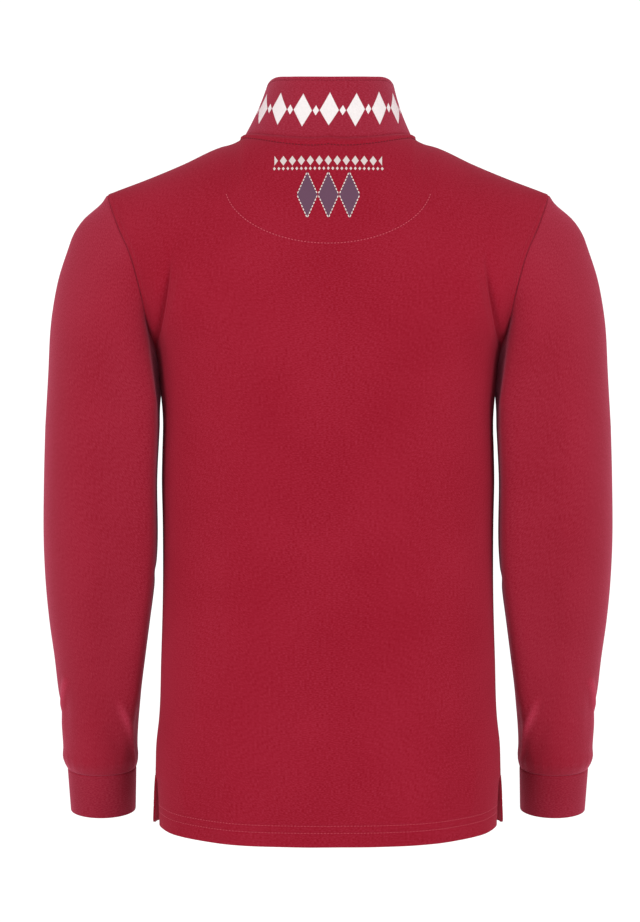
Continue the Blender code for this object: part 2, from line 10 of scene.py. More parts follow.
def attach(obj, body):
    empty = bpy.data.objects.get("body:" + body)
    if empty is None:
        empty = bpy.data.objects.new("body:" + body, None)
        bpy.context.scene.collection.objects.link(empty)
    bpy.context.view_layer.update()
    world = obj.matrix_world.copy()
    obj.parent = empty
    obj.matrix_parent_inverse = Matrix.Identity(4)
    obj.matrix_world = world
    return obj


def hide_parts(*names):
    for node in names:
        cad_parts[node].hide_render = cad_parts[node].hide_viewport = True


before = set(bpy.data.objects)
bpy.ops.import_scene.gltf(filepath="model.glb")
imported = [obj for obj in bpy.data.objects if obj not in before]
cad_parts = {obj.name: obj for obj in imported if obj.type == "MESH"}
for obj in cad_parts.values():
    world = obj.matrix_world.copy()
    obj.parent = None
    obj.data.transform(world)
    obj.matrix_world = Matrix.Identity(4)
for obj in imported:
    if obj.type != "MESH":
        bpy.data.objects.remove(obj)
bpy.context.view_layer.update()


# Back and front: two cut panels of fine cotton jersey, sewn together along the shoulders and
# the sides. Each is a thin wall of cloth on the figure's form. The hem is turned up once and
# held by a twin needle, and the sides are left open at the foot as vents.
MM = 0.001
NECK_STEPS, SHOULDER_STEPS = 6, 7  # the pattern's own divisions
FINE = 8  # columns of the grid to each of those divisions
TO_CORNER = 24  # columns of the last division, where the armhole's edge turns down
SIGN = {"back": 1.0, "front": -1.0}  # which way each panel faces along Y
DEPTH = {"back": 2, "front": 3}  # its column in the table of body sections
SEAM_Y = -6.0
UNDERARM_Z = -235.0
ROUNDNESS = 2.4
SHOULDER_ROUND = {"back": 2.2, "front": 1.5}
NECK_HALF_WIDTH = 85.0
NECK_DEPTH = {"back": 62.0, "front": 95.0}
NECK_EXPONENT = 2.1
NECK_FLARE = 40.0
SHOULDER_TIP = (227.0, -62.0)
VENT_TOP = -658.0
VENT_IN, VENT_OUT = 4.6, 2.6
SLIT_HALF_WIDTH = 2.0
SLIT_LENGTH = 8 / 12  # share of the way from the neck seam to the underarm level
JERSEY = 1.0  # the cloth's outer face stands this far from its middle surface
TOPSTITCH = 12.0  # from the neck seam
ARMHOLE_STITCH = 6.0
VENT_STITCH = 6.0
HEM_STITCHES = (14.0, 21.0)
HEM_TURN, ALLOWANCE, SLEEVE_ALLOWANCE = 23.5, 9.0, 8.0  # widths of the second layer inside
FOLD_FADE, CREASE_FADE = 18.0, 7.0  # folds and creases die away so close to a seam
SEAM_SINK = 0.92  # the face lies this much lower along a seam

# Ridge of the shoulder: distance from the centre, height
RIDGE = (
    (0, 20), (45, 12), (79, 0.8), (85, -2), (90, -6.6), (96, -9.8), (110, -13.9), (149, -31.8),
    (184, -46.2), (222, -60.2), (245, -69),
)

# Body sections: height, half width, depth of the back, depth of the front
BODY = (
    (-760, 177.4, 116, 118), (-700, 177.1, 114, 118), (-650, 176.6, 112, 117),
    (-626, 175.9, 111, 117), (-600, 173.1, 110, 117), (-540, 171, 109, 118),
    (-470, 169.2, 109, 121), (-400, 169.3, 111, 125), (-350, 170.2, 114.5, 128),
    (-330, 169.8, 116, 129), (-290, 169.2, 119, 131), (-262, 171.6, 120, 131),
    (-235, 174.6, 120, 130), (-219, 179.5, 120, 129), (-201, 192, 120, 129),
    (-178, 207.5, 120, 129), (-151, 222, 120, 129), (-125, 228, 120, 129),
    (-100, 231, 120, 129), (-60, 236, 120, 129), (40, 246, 120, 129),
)

# Armhole seam as it is seen from behind: height, distance from the centre
ARMHOLE = (
    (-235, 174), (-219, 177), (-201, 182.5), (-178, 186.5), (-151, 193), (-125, 201),
    (-101, 212), (-80, 220.5), (-62, 227),
)

# Hem: share of the way from the centre to the side, height of the back's hem and the front's
HEM = (
    (0, -718.2, -712), (0.35, -717.6, -711.8), (0.5, -715.6, -711.3), (0.7, -711.9, -710.6),
    (0.82, -709.1, -710), (0.92, -708.4, -709.4), (0.975, -708.5, -708.9),
    (0.99, -707.6, -707.6), (1, -705.8, -705.2),
)

# Rows of the grid close to an edge, as distances from it
BY_NECK = (0.0, 0.7, 1.6, 3.2, 5.0, 7.0, 9.0, 10.8, 12.0, 13.2, 15.5)
BY_UNDERARM = (5.2, 3.2, 1.8, 0.8, 0.0)
BY_SIDE = (0.0, 0.7, 1.5, 2.7, 4.1, 5.2, 6.0, 6.8, 8.0, 10.0, 13.0)
BY_HEM = (25.0, 22.4, 21.0, 19.6, 17.6, 15.4, 14.0, 12.6, 10.0, 7.0, 4.0, 2.0, 0.8, 0.0)
UPPER_ROWS, BODY_ROWS, VENT_ROWS = 68, 96, 8

# Folds that the solids have too: x and height at the top, x and height at the foot, half
# width, depth (above zero stands out)
FOLDS = {
    "back": (
        (155, -128, 172, -226, 12, -3.6), (-155, -128, -172, -226, 12, -3.6),
        (137, -140, 156, -246, 13, 3.2), (-137, -140, -156, -246, 13, 3.2),
        (96, -560, 101, -740, 17, 2.6), (58, -590, 52, -740, 16, -2.4),
        (18, -600, 16, -740, 15, 2.2), (-62, -585, -60, -740, 18, -2.4),
        (-104, -550, -110, -740, 17, 2.6),
    ),
    "front": (
        (120, -150, 152, -250, 16, 3.5), (-120, -150, -152, -250, 16, 3.5),
        (88, -540, 94, -740, 18, 3), (40, -570, 36, -740, 16, -2.4),
        (-30, -560, -34, -740, 17, 2.4), (-92, -530, -98, -740, 18, 3),
    ),
}

# Creases that the solids leave out: x and height at points along each, half width, depth
CREASES = {
    "back": (
        (((157, -124), (163, -160), (167.5, -184), (172.5, -206), (177.5, -222)), 2.5, -3.7),
        (((-156.5, -122), (-163, -162), (-168, -186), (-172.5, -206), (-177.5, -222)), 2.5, -3.6),
        (((148, -150), (156, -184), (166, -226)), 5, 1.5),
        (((-147, -148), (-156, -186), (-166, -226)), 5, 1.6),
        (((171, -150), (176, -182), (176, -214)), 4.6, 1.2),
        (((-171.5, -153), (-176, -186), (-176, -214)), 4.6, 1.1),
        (((182, -90), (170, -112), (161, -138)), 8, 0.9),
        (((-184, -92), (-171, -113), (-162, -140)), 8, 0.8),
        (((70, -158), (67, -215), (61, -310)), 15, 2),
        (((-58, -166), (-60, -222), (-54, -304)), 14, 2.1),
        (((-5, -172), (-9, -218), (-4, -296)), 13, -1.6),
        (((96, -330), (99, -420), (97, -560)), 13, 0.9),
        (((-97, -310), (-99, -430), (-102, -545)), 12, 0.9),
        (((16, -420), (20, -500), (19, -596)), 7, 0.8),
        (((132, -470), (134, -540), (129, -628)), 9, 0.8),
        (((-133, -480), (-131, -545), (-135, -620)), 9, 0.8),
        (((146, -634), (147, -660), (141, -700)), 6, 0.9),
        (((-147, -636), (-146, -664), (-140, -702)), 6, 0.8),
    ),
    "front": (
        (((148, -140), (158, -182), (169, -226)), 3.6, -2.2),
        (((-147, -144), (-158, -186), (-169, -228)), 3.6, -2.3),
        (((118, -205), (132, -240), (150, -262)), 7, 1.3),
        (((-116, -208), (-133, -238), (-151, -266)), 7, 1.2),
        (((24, -232), (34, -262), (60, -300)), 7, -0.9),
        (((-22, -236), (-36, -268), (-54, -310)), 7, 0.9),
        (((88, -330), (93, -430), (90, -540)), 13, 1),
        (((-86, -345), (-92, -440), (-92, -530)), 12, 1.1),
        (((134, -500), (136, -560), (131, -640)), 9, 0.9),
        (((-130, -480), (-135, -570), (-132, -650)), 9, 0.8),
        (((8, -430), (3, -510), (6, -600)), 8, 0.7),
    ),
}


def curve(t, start, end, leaving, arriving):
    """A smooth curve between two values or points with these slopes at its ends; t is 0 to 1."""
    return (
        start * (2 * t**3 - 3 * t**2 + 1)
        + end * (3 * t**2 - 2 * t**3)
        + leaving * (t**3 - 2 * t**2 + t)
        + arriving * (t**3 - t**2)
    )


def through(knots, values, at):
    """The smooth curve through the values at the knots, read at other places."""
    knots, values, at = (np.asarray(a, float) for a in (knots, values, at))
    step = np.diff(knots)
    slope = np.diff(values) / step
    middle = (slope[:-1] * step[1:] + slope[1:] * step[:-1]) / (step[1:] + step[:-1])
    tangent = np.concatenate([[slope[0]], middle, [slope[-1]]])
    i = np.clip(np.searchsorted(knots, at, side="right") - 1, 0, len(step) - 1)
    t = np.clip((at - knots[i]) / step[i], 0.0, 1.0)
    return curve(t, values[i], values[i + 1], tangent[i] * step[i], tangent[i + 1] * step[i])


def column(table, name, at, key=0):
    rows = np.array(table, float)
    return through(rows[:, key], rows[:, name], at)


def ramp(distance, over):
    """Nought at no distance, and 1 from this one on."""
    return np.clip(distance / over, 0.0, 1.0)


def hump(distance, at, wide):
    return np.exp(-(((distance - at) / wide) ** 2))


def rounding(to_edge, over):
    """A quarter round: nought at an edge, and 1 from this distance on."""
    return np.sqrt(np.clip(1.0 - (1.0 - np.minimum(to_edge / over, 1.0)) ** 2, 0.0, 1.0))


def unit(v):
    return v / np.maximum(np.linalg.norm(v, axis=-1, keepdims=True), 1e-12)


def along(grid, axis=0):
    """How far each point of a grid lies from its first row, or column, measured on the cloth."""
    step = np.linalg.norm(np.diff(grid[..., :3], axis=axis), axis=-1)
    nought = np.zeros_like(np.take(step, [0], axis=axis))
    return np.concatenate([nought, np.cumsum(step, axis=axis)], axis=axis)


def places(line, at):
    """Points of a line at these lengths along it."""
    run = along(line)
    return np.stack([np.interp(at, run, line[:, k]) for k in range(line.shape[1])], axis=1)


def body_point(x, z, q, side):
    """The figure's surface at x and height z; q runs from 0 at underarm level to 1 on the ridge."""
    sign = SIGN[side]
    deep = column(BODY, DEPTH[side], np.minimum(z, UNDERARM_Z)) - sign * SEAM_Y
    across = 1.0 - np.clip(np.abs(x) / column(BODY, 1, z), 0.0, 1.0) ** ROUNDNESS
    over = 1.0 - np.clip(q, 0.0, 1.0) ** SHOULDER_ROUND[side]
    y = SEAM_Y + sign * deep * (across * over) ** (1.0 / ROUNDNESS)
    return np.stack([x, y, z], axis=-1)


def neck_arc(side, shares, grow=0.0):
    """The neck seam at shares of the way from the centre to the side neck point, with its q."""
    turn = np.linspace(0.0, math.pi / 2, 200)
    sign = SIGN[side]
    deep = NECK_DEPTH[side] + grow - sign * SEAM_Y
    x = (NECK_HALF_WIDTH + grow) * np.sin(turn) ** (2 / NECK_EXPONENT)
    y = deep * np.clip(np.cos(turn), 0.0, 1.0) ** (2 / NECK_EXPONENT)
    full = column(BODY, DEPTH[side], UNDERARM_Z) - sign * SEAM_Y
    z = np.zeros_like(x)
    for _ in range(6):
        across = 1.0 - (x / column(BODY, 1, z)) ** ROUNDNESS
        q = np.clip(1.0 - (y / full) ** ROUNDNESS / across, 0.0, 1.0) ** (1 / SHOULDER_ROUND[side])
        z = UNDERARM_Z + q * (column(RIDGE, 1, x) - UNDERARM_Z)
    line = np.stack([x, y, z, q], axis=1)
    return places(line, shares * along(line)[-1])


def edge_of_section(z, side, shares):
    """x as shares of the half width, evenly spaced round one quarter of the section."""
    turn = np.linspace(0.0, math.pi / 2, 400)
    width = float(column(BODY, 1, z))
    x = width * np.sin(turn) ** (2 / ROUNDNESS)
    line = body_point(x, np.full_like(x, z), np.zeros_like(x), side)
    run = along(line)
    return np.interp(shares * run[-1], run, x / width)


def half_panel(side):
    """One half of the back or front, centre to side, neck and shoulder to hem, as rows of points,
    with how far down its armhole edge each row lies, as a share."""
    steps = NECK_STEPS + SHOULDER_STEPS
    last = steps - 1 + np.arange(1, TO_CORNER + 1) / TO_CORNER
    cols = np.concatenate([np.arange((steps - 1) * FINE + 1) / FINE, last])
    neck = neck_arc(side, np.minimum(cols / NECK_STEPS, 1.0))
    ridge = np.clip((cols - NECK_STEPS) / SHOULDER_STEPS, 0.0, 1.0)
    top_x = neck[:, 0] + ridge * (SHOULDER_TIP[0] - NECK_HALF_WIDTH)
    top_q = np.where(cols > NECK_STEPS, 1.0, neck[:, 3])
    near = np.where(cols < NECK_STEPS, (cols / NECK_STEPS) ** 2, (steps - cols) / SHOULDER_STEPS)
    foot = edge_of_section(UNDERARM_Z, side, cols / steps)
    turn = np.linspace(0.0, math.pi / 2, 240)
    fall = np.cos(turn) ** (2 / SHOULDER_ROUND[side])
    fall[-1] = 0.0
    edge_z = UNDERARM_Z + fall * (SHOULDER_TIP[1] - UNDERARM_Z)
    edge_x = column(ARMHOLE, 1, edge_z)
    edge_q = np.clip((edge_z - UNDERARM_Z) / (column(RIDGE, 1, edge_x) - UNDERARM_Z), 0.0, 1.0)
    edge_q[0] = 1.0
    flare = NECK_FLARE * np.sin(turn) ** 0.8 * np.cos(turn) ** 2
    upper = []
    for i in range(len(cols)):
        x = edge_x * (fall * top_x[i] / SHOULDER_TIP[0] + (1 - fall) * foot[i]) + near[i] * flare
        q = top_q[i] * fall + np.clip(cols[i] - steps + 1, 0.0, 1.0) * (edge_q - fall)
        z = UNDERARM_Z + q * (column(RIDGE, 1, x) - UNDERARM_Z)
        line = body_point(x, z, q, side)
        total = along(line)[-1]
        even = np.linspace(BY_NECK[-1], total - BY_UNDERARM[0], UPPER_ROWS + 1)[1:-1]
        at = np.concatenate([BY_NECK, even, total - np.array(BY_UNDERARM)])
        upper.append(places(line, at))
    share = at / total
    shares = cols / steps
    hem = column(HEM, 1 if side == "back" else 2, shares)
    lower = [np.full_like(hem, z) for z in np.linspace(UNDERARM_Z, VENT_TOP, BODY_ROWS + 1)[1:]]
    for part in np.linspace(0.0, 1.0, VENT_ROWS + 1)[1:-1]:
        lower.append(VENT_TOP + (hem + BY_HEM[0] - VENT_TOP) * part)
    lower += [hem + rise for rise in BY_HEM]
    lower = [
        body_point(edge_of_section(z[-1], side, shares) * column(BODY, 1, z), z, 0 * z, side)
        for z in lower
    ]
    rows = np.concatenate([np.stack(upper, axis=1), np.stack(lower)])
    kept = (steps - 1) * FINE
    close = []
    for row in rows:
        line = row[kept:][::-1]
        total = along(line)[-1]
        close.append(places(line, np.minimum(BY_SIDE, total * 0.93))[::-1])
    return np.concatenate([rows[:, : kept + 1], np.stack(close)], axis=1), share


def open_vent(points, side):
    """Below the vent's top the two panels part: the back's edge goes in, the front's goes out."""
    below = np.clip((VENT_TOP - points[..., 2]) / 50.0, 0.0, 1.0) ** 0.4
    width = column(BODY, 1, points[..., 2])
    near = np.clip((np.abs(points[..., 0]) - 0.86 * width) / (0.14 * width), 0.0, 1.0) ** 1.5
    amount = below * near
    out = -VENT_IN if side == "back" else VENT_OUT
    points[..., 0] += np.sign(points[..., 0]) * out * amount
    points[..., 1] += (1.5 if side == "back" else -1.0) * amount
    return points


def beside(points, line):
    """How far points lie from a line of two or more points, and how far along it, as a share."""
    line = np.array(line, float)
    if len(line) > 2:
        knots = np.linspace(0.0, 1.0, len(line))
        line = np.stack([through(knots, line[:, k], np.linspace(0, 1, 13)) for k in (0, 1)], axis=1)
    best, where = np.full(points.shape[:-1], 1e9), np.zeros(points.shape[:-1])
    parts = len(line) - 1
    for k in range(parts):
        step = line[k + 1] - line[k]
        t = np.clip(((points - line[k]) @ step) / (step @ step), 0.0, 1.0)
        away = np.linalg.norm(points - line[k] - t[..., None] * step, axis=-1)
        closer = away < best
        best, where = np.where(closer, away, best), np.where(closer, (k + t) / parts, where)
    return best, where


def fold_push(points, side, from_seam):
    """How far the folds and creases push each point along its normal. They die away at a seam."""
    flat = points[..., [0, 2]]
    broad, fine = np.zeros(points.shape[:-1]), np.zeros(points.shape[:-1])
    for x0, z0, x1, z1, wide, deep in FOLDS[side]:
        away, where = beside(flat, ((x0, z0), (x1, z1)))
        to_hem = z1 < VENT_TOP
        ends = where**0.7 if to_hem else np.sin(math.pi * (where * 0.86 + 0.07))
        broad += deep * ends * hump(away, 0.0, wide)
    for line, wide, deep in CREASES[side]:
        away, where = beside(flat, line)
        ends = np.clip(1.5 * np.sin(math.pi * where), 0.0, 1.0)
        fine += deep * ends * hump(away, 0.0, wide)
    return broad * ramp(from_seam, FOLD_FADE) + fine * ramp(from_seam, CREASE_FADE)


def normals(points, closed=False):
    """Unit normals of a grid of points, from its rows and columns either side of each."""
    rows = np.gradient(points, axis=0)
    if closed:
        cols = np.roll(points, -1, axis=1) - np.roll(points, 1, axis=1)
    else:
        cols = np.gradient(points, axis=1)
    return unit(np.cross(rows, cols))


def turned_to(facing, at, back=True):
    """The normals, turned over if the one at this place points away from the side it should."""
    return facing if (facing[at][1] > 0) == back else -facing


def seam_normals(seam, one, other, out, closed=False):
    """Normals that two pieces share along a seam. one and other are points beside it."""
    if closed:
        tangent = unit(np.roll(seam, -1, axis=0) - np.roll(seam, 1, axis=0))
    else:
        tangent = unit(np.gradient(seam, axis=0))

    def square(points):
        away = points - seam
        return unit(away - (away * tangent).sum(-1, keepdims=True) * tangent)

    n = unit(np.cross(tangent, square(one) - square(other)))
    return n * np.where((n * out).sum(-1, keepdims=True) < 0, -1.0, 1.0)


def as_piece(name, mesh):
    piece = bpy.data.objects.new(name, mesh)
    bpy.context.scene.collection.objects.link(piece)
    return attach(piece, "root")


def wall(name, points, facing, outer, inner, finishes, closed=False, keep=None, painted_highlight=None):
    """A closed wall of cloth on a grid of points: its outer and inner faces lie outer and inner
    along the normals, and a rim closes each open edge. The UV map cloth is in metres.
    painted_highlight says how strongly a highlight is painted on the outer face at each point, from
    0 to 1."""
    rows, cols = points.shape[:2]
    wide = cols if closed else cols - 1
    if keep is None:
        keep = np.ones((rows - 1, wide), bool)
    outer, inner = (np.broadcast_to(a, (rows, cols))[..., None] for a in (outer, inner))
    count = rows * cols
    verts = np.concatenate([(points + facing * face).reshape(-1, 3) for face in (outer, inner)])
    i, j = rows // 2, cols // 2
    one_way = np.cross(points[i, (j + 1) % cols] - points[i, j], points[i + 1, j] - points[i, j])
    r, k = np.nonzero(keep)
    corner = [np.stack(at, axis=1) for at in ((r, k), (r, k + 1), (r + 1, k + 1), (r + 1, k))]
    corner = np.stack(corner, axis=1)
    if np.dot(one_way, facing[i, j]) < 0:
        corner = corner[:, ::-1]
    quads = corner[..., 0] * cols + corner[..., 1] % cols
    pairs = np.stack([quads, np.roll(quads, -1, axis=1)], axis=2).reshape(-1, 2)
    ends = np.stack([corner, np.roll(corner, -1, axis=1)], axis=2).reshape(-1, 2, 2)
    one_turn, other_turn = pairs @ np.array([count, 1]), pairs @ np.array([1, count])
    open_edge = ~np.isin(other_turn, one_turn)
    a, b = pairs[open_edge].T
    rim = np.stack([b, a, a + count, b + count], axis=1)
    faces = np.concatenate([quads, quads[:, ::-1] + count, rim])
    corners = np.concatenate([corner, corner[:, ::-1], ends[open_edge][:, [1, 0, 0, 1]]])
    used = np.zeros(2 * count, bool)
    used[faces.ravel()] = True
    number = np.cumsum(used) - 1
    mesh = bpy.data.meshes.new(name)
    mesh.from_pydata((verts[used] * MM).tolist(), [], number[faces].tolist())
    ring = np.concatenate([points, points[:, :1]], axis=1) if closed else points
    across = along(ring, axis=1)
    across -= across[:, across.shape[1] // 2][:, None]
    row, col = corners.reshape(-1, 2).T
    flat = np.stack([across[row, col], -along(ring)[row, col]], axis=1) * MM
    mesh.uv_layers.new(name="cloth").data.foreach_set("uv", flat.ravel())
    # the painted highlight, kept as an attribute of the outer face
    if painted_highlight is not None:
        highlight_values = np.concatenate([painted_highlight.ravel(), np.zeros(count)])[used].astype(np.float32)
        mesh.attributes.new("painted_highlight", "FLOAT", "POINT").data.foreach_set("value", highlight_values)
    for finish in finishes:
        mesh.materials.append(finish)
    which = np.zeros(len(faces), np.int32)
    which[len(quads) : 2 * len(quads)] = len(finishes) - 1
    mesh.polygons.foreach_set("material_index", which)
    mesh.shade_smooth()
    mesh.set_sharp_from_angle(angle=math.radians(60))
    mesh.update()
    return as_piece(name, mesh)


def group(name, inputs, outputs):
    """An empty group of shader nodes, with inputs as (name, kind, value) and outputs."""
    tree = bpy.data.node_groups.new(name, "ShaderNodeTree")
    for label, kind, value in inputs:
        kind = "NodeSocket" + kind
        socket = tree.interface.new_socket(label, in_out="INPUT", socket_type=kind)
        socket.default_value = value
    for label, kind in outputs:
        tree.interface.new_socket(label, in_out="OUTPUT", socket_type="NodeSocket" + kind)
    return tree, tree.nodes.new("NodeGroupInput").outputs, tree.nodes.new("NodeGroupOutput").inputs


def node(tree, kind, *links, **settings):
    """A shader node with its settings, and its inputs linked or set as (name or number, value)."""
    made = tree.nodes.new("ShaderNode" + kind)
    for key, value in settings.items():
        setattr(made, key, value)
    for socket, value in links:
        if isinstance(value, bpy.types.NodeSocket):
            tree.links.new(value, made.inputs[socket])
        else:
            made.inputs[socket].default_value = value
    return made


def calc(tree, operation, *values):
    return node(tree, "Math", *enumerate(values), operation=operation).outputs[0]


def blend(tree, share, one, other, kind="MIX"):
    both = {"data_type": "RGBA", "blend_type": kind}
    return node(tree, "Mix", (0, share), (6, one), (7, other), **both).outputs[2]


def spread(tree, value, low, high, to_low, to_high):
    """The value, with its range from low to high spread over another and held within it."""
    limits = enumerate((value, low, high, to_low, to_high))
    return node(tree, "MapRange", *limits).outputs[0]


def noise(tree, at, scale, detail, distortion=0.0):
    settings = (("Scale", scale), ("Detail", detail), ("Distortion", distortion))
    return node(tree, "TexNoise", ("Vector", at), *settings).outputs[0]


def object_place(tree):
    return node(tree, "TexCoord").outputs["Object"]


def new_finish(name, *settings):
    """A new material, with its tree and its shader, whose inputs are set as (name, value)."""
    finish = bpy.data.materials.new(name)
    finish.use_nodes = True
    shader = finish.node_tree.nodes["Principled BSDF"]
    for label, value in settings:
        shader.inputs[label].default_value = value
    return finish, finish.node_tree, shader


def feed(tree, shader, **sockets):
    """Links sockets to the shader's inputs, which are named with _ for a space."""
    for label, socket in sockets.items():
        tree.links.new(socket, shader.inputs[label.replace("_", " ")])


# Fine jersey: columns of small loops, with yarn a little uneven in colour and a soft nap. Where a
# mesh carries painted_highlight, a painted highlight blends the colour toward the nap colour.
jersey_face, given, out = group(
    "jersey face",
    [
        ("Colour", "Color", (0.35, 0.014, 0.034, 1)),
        ("Nap colour", "Color", (0.5, 0.08, 0.12, 1)),
        ("Loop width", "Float", 0.0009),
        ("Relief", "Float", 0.00008),
    ],
    [("Colour", "Color"), ("Roughness", "Float"), ("Normal", "Vector")],
)


def knit(operation, *values):
    return calc(jersey_face, operation, *values)


place = node(jersey_face, "UVMap", uv_map="cloth").outputs[0]
parted = node(jersey_face, "SeparateXYZ", (0, place)).outputs
loops = knit("DIVIDE", parted[0], given["Loop width"])
leg = knit("MULTIPLY", knit("PINGPONG", loops, 0.5), 2.0)
height = knit("SINE", knit("MULTIPLY", leg, math.pi))
courses = knit("DIVIDE", parted[1], knit("MULTIPLY", given["Loop width"], 0.8))
slant = knit("ADD", courses, knit("MULTIPLY", leg, 0.5))
wave = knit("SINE", knit("MULTIPLY", slant, 2 * math.pi))
height = knit("MULTIPLY", height, knit("MULTIPLY_ADD", wave, 0.35, 0.65))
stretched = node(jersey_face, "Mapping", (0, place), (3, (420.0, 1150.0, 1.0))).outputs[0]
yarn = noise(jersey_face, stretched, 1.0, 2.0)
fuzz = noise(jersey_face, place, 1900.0, 2.0)
cloud = noise(jersey_face, object_place(jersey_face), 11.0, 3.0)
mottle = knit("ADD", knit("MULTIPLY", yarn, 0.75), knit("MULTIPLY", cloud, 0.25))
mottle = spread(jersey_face, mottle, 0.38, 0.62, 0.03, 0.33)
# painted highlight: the mesh's painted_highlight attribute pushes the colour toward the nap colour
# on crease ridges
painted_highlight = node(jersey_face, "Attribute", attribute_name="painted_highlight").outputs["Fac"]
mottle_and_highlight = knit("ADD", mottle, painted_highlight)
colour = blend(jersey_face, mottle_and_highlight, given["Colour"], given["Nap colour"])
shade = spread(jersey_face, fuzz, 0.3, 0.7, 0.93, 1.06)
grain = knit("SUBTRACT", yarn, 0.5)
shades = [knit("MULTIPLY_ADD", grain, strength, shade) for strength in (0.2, 2.6, 1.6)]
tint = node(jersey_face, "CombineXYZ", *enumerate(shades)).outputs[0]
height = knit("ADD", height, knit("MULTIPLY", fuzz, 0.9))
settings = (("Height", height), ("Distance", given["Relief"]), ("Strength", 0.6))
relief = node(jersey_face, "Bump", *settings).outputs[0]
jersey_face.links.new(blend(jersey_face, 1.0, colour, tint, "MULTIPLY"), out["Colour"])
jersey_face.links.new(spread(jersey_face, fuzz, 0.0, 1.0, 0.82, 0.97), out["Roughness"])
jersey_face.links.new(relief, out["Normal"])


def cloth(name, colour, nap, sheen=0.65, loop=0.0009, relief=0.00008):
    """A cotton material: the knitted face in its colour, with the soft sheen of its nap. loop
    and relief are in metres."""
    finish, tree, shader = new_finish(
        name,
        ("Specular IOR Level", 0.12),
        ("Sheen Weight", sheen),
        ("Sheen Roughness", 0.5),
        ("Sheen Tint", (1.0, 0.26, 0.4, 1)),
    )
    face = tree.nodes.new("ShaderNodeGroup")
    face.node_tree = jersey_face
    values = ((*colour, 1), (*nap, 1), loop, relief)
    for label, value in zip(("Colour", "Nap colour", "Loop width", "Relief"), values):
        face.inputs[label].default_value = value
    colour, rough, normal = face.outputs
    feed(tree, shader, Base_Color=colour, Roughness=rough, Normal=normal)
    return finish


# A row of lozenges as printed on cloth, or a single one: its mask
LOZENGE_ROW = ("Spacing", "Start", "Middle", "Half width", "Half height", "Reach")
lozenges, given, out = group(
    "row of lozenges",
    [(label, "Float", 0.0) for label in ("Across", "Up", *LOZENGE_ROW)],
    [("Mask", "Float")],
)


def lozenge(operation, *values):
    return calc(lozenges, operation, *values)


near = lozenge("SUBTRACT", given["Across"], given["Start"])
near = lozenge("PINGPONG", near, lozenge("MULTIPLY", given["Spacing"], 0.5))
near = lozenge("DIVIDE", near, given["Half width"])
level = lozenge("ABSOLUTE", lozenge("SUBTRACT", given["Up"], given["Middle"]))
level = lozenge("DIVIDE", level, given["Half height"])
mask = spread(lozenges, lozenge("ADD", near, level), 0.97, 1.03, 1.0, 0.0)
within = lozenge("LESS_THAN", lozenge("ABSOLUTE", given["Across"]), given["Reach"])
lozenges.links.new(lozenge("MULTIPLY", mask, within), out["Mask"])


def printed(finish, coordinates, layers):
    """Prints on a cloth. Each layer is a colour and rows of lozenges: spacing, start, middle, half
    width, half height and reach in millimetres. coordinates are its sockets across and up."""
    tree = finish.node_tree
    shader = tree.nodes["Principled BSDF"]
    colour = shader.inputs["Base Color"].links[0].from_socket
    rough = shader.inputs["Roughness"].links[0].from_socket
    normal = shader.inputs["Normal"].links[0].from_socket
    across, up = coordinates(tree)
    for ink, thick, rows in layers:
        cover = 0.0
        for row in rows:
            one = tree.nodes.new("ShaderNodeGroup")
            one.node_tree = lozenges
            tree.links.new(across, one.inputs["Across"])
            tree.links.new(up, one.inputs["Up"])
            for label, value in zip(LOZENGE_ROW, row):
                one.inputs[label].default_value = value * MM
            cover = calc(tree, "MAXIMUM", cover, one.outputs["Mask"])
        colour = blend(tree, calc(tree, "MULTIPLY", cover, 0.97), colour, (*ink, 1))
        rough = node(tree, "Mix", (0, cover), (2, rough), (3, 0.6)).outputs[0]
        settings = (("Height", cover), ("Distance", thick * MM), ("Strength", 1.0))
        normal = node(tree, "Bump", *settings, ("Normal", normal)).outputs[0]
    feed(tree, shader, Base_Color=colour, Roughness=rough, Normal=normal)
    return finish


def on_back(tree):
    parted = node(tree, "SeparateXYZ", (0, object_place(tree))).outputs
    return parted[0], parted[2]


CHERRY, CHERRY_NAP = (0.27, 0.0029, 0.0152), (0.47, 0.029, 0.064)
cherry_jersey = cloth("cherry jersey", CHERRY, CHERRY_NAP, sheen=0.15)
# The reverse face: paler as the back of jersey is, and lightened further as painted light against
# the shade it lies in
inside = ((0.38, 0.007, 0.024), (0.5, 0.032, 0.068))
jersey_reverse_painted_lighter = cloth("cherry jersey reverse, painted lighter", *inside, sheen=0.1, loop=0.0011)
CREAM_INK, SLATE_INK = (0.72, 0.62, 0.6), (0.125, 0.062, 0.105)
back_jersey = printed(
    cloth("cherry jersey with its back print", CHERRY, CHERRY_NAP, sheen=0.15),
    on_back,
    [
        (SLATE_INK, 0.1, [(21.0, 0.0, -70.6, 10.3, 24.0, 31.4)]),
        (CREAM_INK, 0.08, [(9.0, 0.0, -34.8, 3.6, 5.2, 54.0), (4.5, 0.0, -43.2, 1.5, 1.9, 56.3)]),
    ],
)

panel, out_of, outer_of, share_of = {}, {}, {}, {}
for side in ("back", "front"):
    left, share_of[side] = half_panel(side)
    mirror = np.array([-1.0, 1.0, 1.0])
    if side == "front":
        step = left[:, 1] - left[:, 0]
        left[:, 0] += step * (SLIT_HALF_WIDTH / np.maximum(step[:, :1], 1e-6))
        grid = np.concatenate([left[:, ::-1] * mirror, left], axis=1)
    else:
        grid = np.concatenate([left[:, :0:-1] * mirror, left], axis=1)
    grid = open_vent(grid, side)
    middle = grid.shape[1] // 2
    for push in (True, False):
        facing = turned_to(normals(grid), (30, middle), side == "back")
        if push:
            down, across = along(grid), along(grid, axis=1)
            edge = np.minimum(across, across[:, -1:] - across)
            grid = grid + facing * fold_push(grid, side, np.minimum(edge, down))[..., None]
    panel[side], out_of[side] = grid, facing
UNDERARM_ROW = len(BY_NECK) + UPPER_ROWS - 1 + len(BY_UNDERARM) - 1
VENT_ROW = UNDERARM_ROW + BODY_ROWS
shoulder_cols = len(BY_SIDE) + (SHOULDER_STEPS - 1) * FINE
neck_cols = NECK_STEPS * FINE



